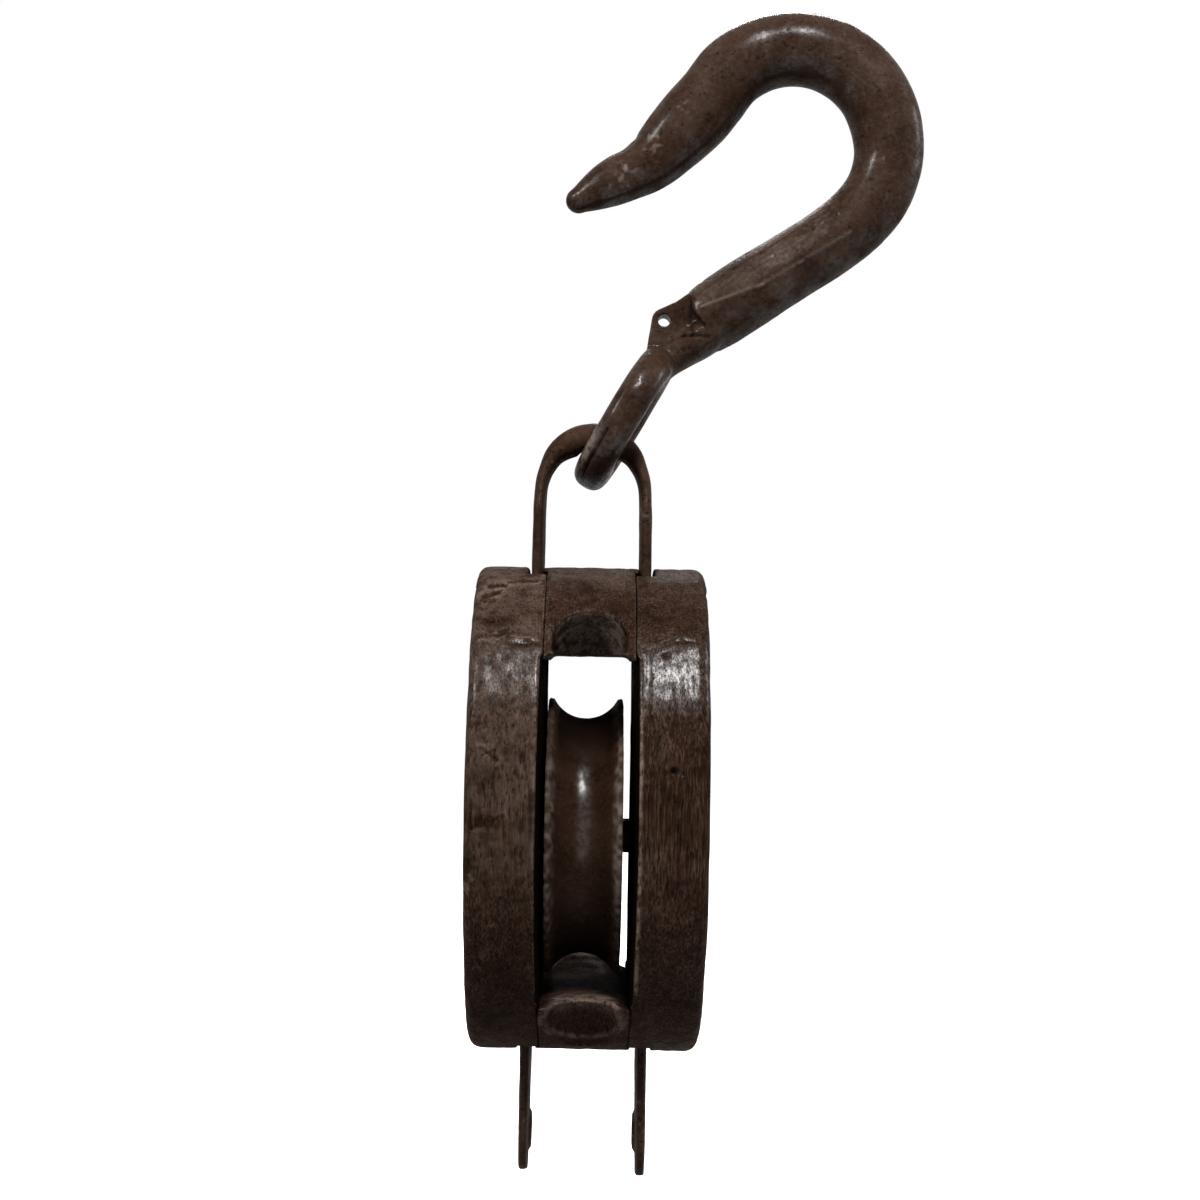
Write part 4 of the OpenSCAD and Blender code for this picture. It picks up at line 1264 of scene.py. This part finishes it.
# %% Tree: a turned wheel
wheel, given, result = new_tree("turned wheel", "GeometryNodeTree",
                                [("Geometry", GEOMETRY, None), ("Pitch radius", FLOAT, 0.03),
                                 ("Steps", INT, 360), ("Lump size", FLOAT, 0.002),
                                 ("Lump height", FLOAT, 0.0001), ("Seed", INT, 5),
                                 ("Material", MATERIAL, None)], [("Geometry", GEOMETRY)])
section = add(wheel, "GeometryNodeMeshToCurve", {"Mesh": given["Geometry"]}).outputs[0]
circle = add(wheel, "GeometryNodeCurvePrimitiveCircle",
             {"Resolution": given["Steps"], "Radius": given["Pitch radius"]}).outputs["Curve"]
swept = add(wheel, "GeometryNodeCurveToMesh", {"Curve": circle, "Profile Curve": section}).outputs[0]
at = add(wheel, "GeometryNodeInputPosition").outputs[0]
lump_scale = maths(wheel, "DIVIDE", 1.0, given["Lump size"])
lumps = add(wheel, "ShaderNodeTexNoise",
            {"Vector": at, "W": given["Seed"], "Detail": 3.0, "Scale": lump_scale},
            noise_dimensions="4D").outputs["Fac"]
height = times(wheel, maths(wheel, "SUBTRACT", lumps, 0.5), given["Lump height"])
outwards = add(wheel, "GeometryNodeInputNormal").outputs[0]
offset = vector_maths(wheel, "SCALE", {0: outwards, "Scale": height})
uneven_wheel = add(wheel, "GeometryNodeSetPosition", {"Geometry": swept, "Offset": offset}).outputs[0]
smooth_wheel = add(wheel, "GeometryNodeSetShadeSmooth", {"Geometry": uneven_wheel}).outputs[0]
finish_tree(wheel, smooth_wheel, given, result)
print("turned wheel tree:", len(wheel.nodes), "nodes")

# %% Turn the sheave
pitch_r = 30


def outline_piece(name, outline, longest):
    """A closed line through an outline, with long stretches cut into shorter ones."""
    points = []
    for (r0, x0), (r1, x1) in zip(outline, np.roll(outline, -1, axis=0)):
        pieces = max(1, math.ceil(math.hypot(r1 - r0, x1 - x0) / longest))
        points += [(r0 + (r1 - r0) * k / pieces - pitch_r, x0 + (x1 - x0) * k / pieces, 0)
                   for k in range(pieces)]
    edges = [(i, (i + 1) % len(points)) for i in range(len(points))]
    mesh = bpy.data.meshes.new(name)
    mesh.from_pydata((np.array(points) * MM).tolist(), edges, [])
    return add_object(name, mesh)


sheave = run_tree(outline_piece("sheave_casting", outline, 1.1), wheel, Pitch_radius=pitch_r * MM, Steps=360,
                  Lump_size=0.0022, Lump_height=0.00022, Seed=5, Material=sheave_iron)
turned_points = points_of(sheave)
radius = np.hypot(turned_points[:, 0], turned_points[:, 1])
print("turned radius from", radius.min().round(2), "to", radius.max().round(2))

# %% [markdown]
# The tree turns the wheel about Z. Its mesh is then laid on the pin: the wheel's Z becomes the block's X.
# Its lips are nicked and rubbed pale, and the rope has polished a narrow track down the groove's middle.
# Far above and below the pin the wheel is painted darker, as shade.

# %% Lay the sheave on its pin
laid = np.stack([turned_points[:, 2] + sheave_x, turned_points[:, 0] + pin[1], turned_points[:, 1] + pin[2]], 1)
move_points(sheave, laid)
face_outwards(sheave.data)
from_pin = np.hypot(laid[:, 1] - pin[1], laid[:, 2] - pin[2])
from_middle = np.abs(laid[:, 0] - sheave_x)
on_lip = np.clip((from_pin - sheave_r + 4) / 2, 0, 1) * np.clip((from_middle - groove_half + 2.5) / 2, 0, 1)
nicks = np.clip(uneven(laid, 3.5, 51) - 0.35, 0, 1)
press_in(sheave, 0.7 * on_lip * nicks + 0.05 * uneven(laid, 6, 52))
pitted = np.clip(0.6 * uneven(laid, 1.5, 53) + 0.5, 0, 1) * on_lip
in_groove = np.clip(1 - from_middle / 5, 0, 1) * np.clip(uneven(laid, 1.6, 54) - 0.5, 0, 1)
above_pin = np.clip((laid[:, 2] - pin[2] + 10) / 14, 0.1, 1)
# painted shade: far above and below the pin the wheel is made darker
far_up = np.clip((np.abs(laid[:, 2] - pin[2]) - 20) / 14, 0, 1)
rope_track = 0.25 * np.exp(-(from_middle / 4.5) ** 2) + np.exp(-(from_middle / 1.8) ** 2)
keep_wear_and_light(sheave, (0.75 * pitted + 0.3 * in_groove) * (1 - 0.5 * far_up) - 0.9 * far_up * (1 - on_lip),
    rope_track * (1 - far_up) * above_pin)

# %% [markdown]
# ## Fasteners
# Four rivets hold the cheeks to the spacers. Their heads are let into the left cheek, and their tails are
# clenched over roves in the right one. A plate with two nails covers each end of the pin. Each kind is one
# small shape that Geometry Nodes set out on its points, each turned a little differently, as a smith
# would leave them. A point's own facing says which cheek it looks out of.

# %% Tree: set out
set_out, given, result = new_tree("set out", "GeometryNodeTree",
                                  [("Geometry", GEOMETRY, None), ("Fastener", OBJECT, None),
                                   ("Most turn", FLOAT, 3.14), ("Seed", INT, 1), ("Material", MATERIAL, None)],
                                  [("Geometry", GEOMETRY)])
shape = add(set_out, "GeometryNodeObjectInfo", {"Object": given["Fastener"]}).outputs["Geometry"]
facing_angle = add(set_out, "GeometryNodeInputNamedAttribute", {"Name": "facing"},
                   data_type="FLOAT").outputs["Attribute"]
least_turn = maths(set_out, "SUBTRACT", 0.0, given["Most turn"])
spin = add(set_out, "FunctionNodeRandomValue",
           {2: least_turn, 3: given["Most turn"], "Seed": given["Seed"]}, data_type="FLOAT").outputs[1]
angles = add(set_out, "ShaderNodeCombineXYZ", {"X": spin, "Z": facing_angle}).outputs[0]
turn_to = add(set_out, "FunctionNodeEulerToRotation", {"Euler": angles}).outputs[0]
instances = add(set_out, "GeometryNodeInstanceOnPoints",
                {"Points": given["Geometry"], "Instance": shape, "Rotation": turn_to}).outputs[0]
finish_tree(set_out, instances, given, result)
print("set out tree:", len(set_out.nodes), "nodes")

# %% Set a fastener out on its points
def set_fasteners(name, shape, places, facings, most_turn, seed):
    """One object with a copy of shape at every place."""
    mesh = bpy.data.meshes.new(name)
    mesh.from_pydata((np.array(places) * MM).tolist(), [], [])
    mesh.attributes.new("facing", "FLOAT", "POINT").data.foreach_set("value", np.array(facings, float))
    made = add_object(name, mesh)
    run_tree(made, set_out, Fastener=shape, Most_turn=most_turn, Seed=seed, Material=iron)
    made.data.shade_smooth()
    face_outwards(made.data)
    bpy.data.objects.remove(shape)
    return made


nowhere = np.zeros(3)
rivet_at = [(shell_mid[0], side * y, shell_mid[2] + z)
            for y, z in ((20, 62.5), (17, -63.5)) for side in (-1, 1)]
print("rivets at", rivet_at[0], "and three more")

# %% [markdown]
# A rivet's head was hammered flush, so it is a little hollow and lumpy, and its clenched tail is a low dome.

# %% Rivets and roves
rivet_r, rove_r, head_t, clench_t, clench_r = 2.5, 5.5, 1.5, 0.3, 3.7
out = cheek_out
rivet_outline = [(-out + 0.25, 0.05), (-out + 0.2, 2.2), (-out + 0.05, 4.2), (-out + 0.15, rove_r - 0.4),
                 (-out + 0.5, rove_r), (-out + head_t, rove_r), (-out + head_t, rivet_r), (0, rivet_r),
                 (out - clench_t, rivet_r), (out - clench_t, clench_r), (out - 0.15, clench_r),
                 (out + 0.05, clench_r * 0.93), (out + clench_t * 0.7, clench_r * 0.66),
                 (out + clench_t * 0.98, clench_r * 0.3), (out + clench_t, 0.05)]
rivet_steps = 40
rivet = turned("rivet", rivet_outline, nowhere, "X", rivet_steps)
rivet_points = points_of(rivet)
press_in(rivet, 0.1 * uneven(rivet_points, 2.2, 81) * (np.abs(rivet_points[:, 0]) > out - 1))
rivets = set_fasteners("rivets", rivet, rivet_at, [0] * 4, most_turn=3.1, seed=7)
rove_ring = [(-head_t, rivet_r + 0.1), (-clench_t - 0.1, rivet_r + 0.1), (-clench_t, rivet_r + 0.3),
             (-clench_t, 4.6), (-clench_t - 0.1, rove_r - 0.3), (-clench_t - 0.4, rove_r), (-head_t, rove_r)]
turn = around_once(rivet_steps)
rove = make_piece("rove", *closed_loft([
    np.stack([np.full(rivet_steps, out + a), r * np.cos(turn), r * np.sin(turn)], 1) for a, r in rove_ring]))
roves = set_fasteners("roves", rove, rivet_at, [0] * 4, most_turn=3.1, seed=9)

# %% [markdown]
# The nails are hand-made: a square tapered shank and a rose head with four hammered facets. Both pin
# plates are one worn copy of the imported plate, set out once on each side of the shell.

# %% Plate nails
nail_up, plate_t, nail_l, nail_point = 17.5, 2.2, 14, 3
nail_head_r, nail_head_t = 3.2, 1.3
NAIL_STEPS = 32


def square_ring(along, half, squareness):
    """A ring across X, from a circle to a square."""
    turn = around_once(NAIL_STEPS)
    square = math.cos(math.pi / 4) / np.cos(turn % (math.pi / 2) - math.pi / 4) * 1.15
    radius = half * ((1 - squareness) + squareness * square)
    return np.stack([np.full(NAIL_STEPS, along), radius * np.cos(turn), radius * np.sin(turn)], 1)


# Each ring: height over the plate's face, half width and squareness
nail_outline = [(-nail_l, 0.15, 1), (nail_point - nail_l, 1, 1), (-0.2, 1.25, 1), (0, 1.35, 0.6),
                (0, nail_head_r - 0.3, 0.1), (0.25, nail_head_r, 0.15), (0.55, nail_head_r * 0.86, 0.35),
                (nail_head_t * 0.86, nail_head_r * 0.36, 0.9), (nail_head_t, 0.3, 0.6)]
plate_nail = make_piece("plate_nail", *loft([square_ring(plate_t + up, half, squareness)
                                             for up, half, squareness in nail_outline]))
nail_at = [(shell_mid[0] + side * cheek_out, 0, pin[2] + up) for side in (-1, 1) for up in (-nail_up, nail_up)]
plate_nails = set_fasteners("plate_nails", plate_nail, nail_at, [math.pi, math.pi, 0, 0],
                            most_turn=0.6, seed=4)

# %% Pin plates
plate_net = 0.35
pin_plate = melt(cad_copy("right_pin_plate", "pin_plate"), plate_net, softening=3)
plate_points = points_of(pin_plate)
press_in(pin_plate, 0.16 * uneven(plate_points, (9, 6, 6), 91) + 0.06 * uneven(plate_points, 2.4, 92))
plates_at = (shell_mid[0], 0, pin[2])
move_points(pin_plate, points_of(pin_plate) - plates_at)
pin_plates = set_fasteners("pin_plates", pin_plate, [plates_at] * 2, [0, math.pi], most_turn=0.0, seed=1)

# %% [markdown]
# ## Put each piece on its body
# A piece that stands for imported pieces hides them and rides on their body. The pin and the bush keep
# their imported meshes, which are plain turned shapes and barely seen, and only get better finishes.

# %% Bodies and finishes
dressed = [(hook, iron, "hook", "forged_iron", ["hook"]),
           (strap, iron, "block", "forged_iron", ["strap"]),
           (left_cheek, wood, "block", "shell_wood", ["left_cheek"]),
           (right_cheek, wood, "block", "shell_wood", ["right_cheek"]),
           (crown, wood, "block", "shell_wood", ["crown_block"]),
           (tail, wood, "block", "shell_wood", ["tail_block"]),
           (sheave, sheave_iron, "sheave", "sheave_iron", ["sheave"]),
           (rivets, iron, "block", "forged_iron",
            ["crown_front_rivet", "crown_back_rivet", "tail_front_rivet", "tail_back_rivet"]),
           (roves, iron, "block", "forged_iron",
            ["crown_front_rove", "crown_back_rove", "tail_front_rove", "tail_back_rove"]),
           (plate_nails, iron, "block", "forged_iron", ["left_plate_nails", "right_plate_nails"]),
           (pin_plates, iron, "block", "forged_iron", ["left_pin_plate", "right_pin_plate"])]
for piece, finish, body, slot, nodes in dressed:
    piece.data.materials.clear()
    piece.data.materials.append(finish)
    piece.data.shade_smooth()
    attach(piece, body)
    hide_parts(*nodes)
for node, finish in (("sheave_pin", iron), ("sheave_bush", bronze)):
    for holder in frame["nodes"][node].material_slots:
        holder.material = finish
print("pieces dressed:", len(dressed) + 2)

# %% [markdown]
# ## The studio
# The photograph has a white background that wraps the block in pale light and a soft lamp above the camera.
# What the camera and reflections see of the world is white; what lights the block is weaker, so that
# colours render about as they are written. The floor stays clear of the swinging block.

# %% Floor
FLOOR_GAP, FLOOR_HALF = 30, 3
floor_glow = 0.68
floor_z = cad_low[2] - FLOOR_GAP * MM
floor_mesh = bpy.data.meshes.new("floor")
floor_corners = [(x * FLOOR_HALF, y * FLOOR_HALF, floor_z) for x, y in ((-1, -1), (1, -1), (1, 1), (-1, 1))]
floor_mesh.from_pydata(floor_corners, [], [(0, 1, 2, 3)])
floor = add_object("floor", floor_mesh)
floor_paint, tree, shader, place = start_finish("floor_paint", 0.1)
rays = add(tree, "ShaderNodeLightPath").outputs
tree.links.new(mixed(tree, rays["Is Diffuse Ray"], opaque(0.95, 0.95, 0.95), opaque(0.15, 0.15, 0.15)),
               shader.inputs["Base Color"])
shader.inputs["Roughness"].default_value = 0.9
tree.links.new(mixed(tree, rays["Is Camera Ray"], opaque(0, 0, 0), WHITE), shader.inputs["Emission Color"])
shader.inputs["Emission Strength"].default_value = floor_glow
floor_mesh.materials.append(floor_paint)
print("floor at", round(floor_z / MM, 1), "mm")

# %% World
world = bpy.data.worlds.new("studio")
bpy.context.scene.world = world
world.use_nodes = True
tree = world.node_tree
tree.nodes.clear()
rays = add(tree, "ShaderNodeLightPath").outputs
seen_rays = largest(tree, rays["Is Camera Ray"], rays["Is Glossy Ray"], rays["Is Transmission Ray"])
seen = add(tree, "ShaderNodeBackground", {"Color": WHITE, "Strength": 1.0})
up = add(tree, "ShaderNodeSeparateXYZ", {0: add(tree, "ShaderNodeTexCoord").outputs["Generated"]}).outputs["Z"]
from_below, from_above = 0.1, 0.42
lighting = add(tree, "ShaderNodeBackground",
               {"Color": WHITE, "Strength": spread(tree, up, -0.4, 1, from_below, from_above)})
chosen = add(tree, "ShaderNodeMixShader", {0: seen_rays, 1: lighting.outputs[0], 2: seen.outputs[0]})
add(tree, "ShaderNodeOutputWorld", {"Surface": chosen.outputs[0]})
print("world: white to the camera and in reflections, weaker as light")


# %% Lamps
def soft_lamp(name, azimuth, elevation, distance, size, power):
    """A rectangular lamp that looks at the shell from a direction given in degrees."""
    data = bpy.data.lights.new(name, "AREA")
    data.shape, data.size, data.size_y, data.energy = "RECTANGLE", size[0], size[1], power
    lamp = add_object(name, data)
    a, e = math.radians(azimuth), math.radians(elevation)
    toward_lamp = Vector((math.sin(a) * math.cos(e), -math.cos(a) * math.cos(e), math.sin(e)))
    lamp.location = Vector(shell_mid * MM) + toward_lamp * distance
    lamp.rotation_euler = toward_lamp.to_track_quat("Z", "Y").to_euler()


# Each lamp: azimuth, elevation, distance, size and watts
lamps = {"key": (11, 53, 1.2, (0.15, 0.26), 14), "left_key": (-50, 38, 1.3, (0.13, 0.34), 8),
         "back": (170, 42, 1.3, (0.3, 0.3), 10), "right": (100, 25, 1.3, (0.3, 0.5), 6)}
for name, settings in lamps.items():
    soft_lamp(name, *settings)

# %% Look settings
bpy.context.scene.view_settings.view_transform = "Standard"
print("colours go to the picture by", bpy.context.scene.view_settings.view_transform)
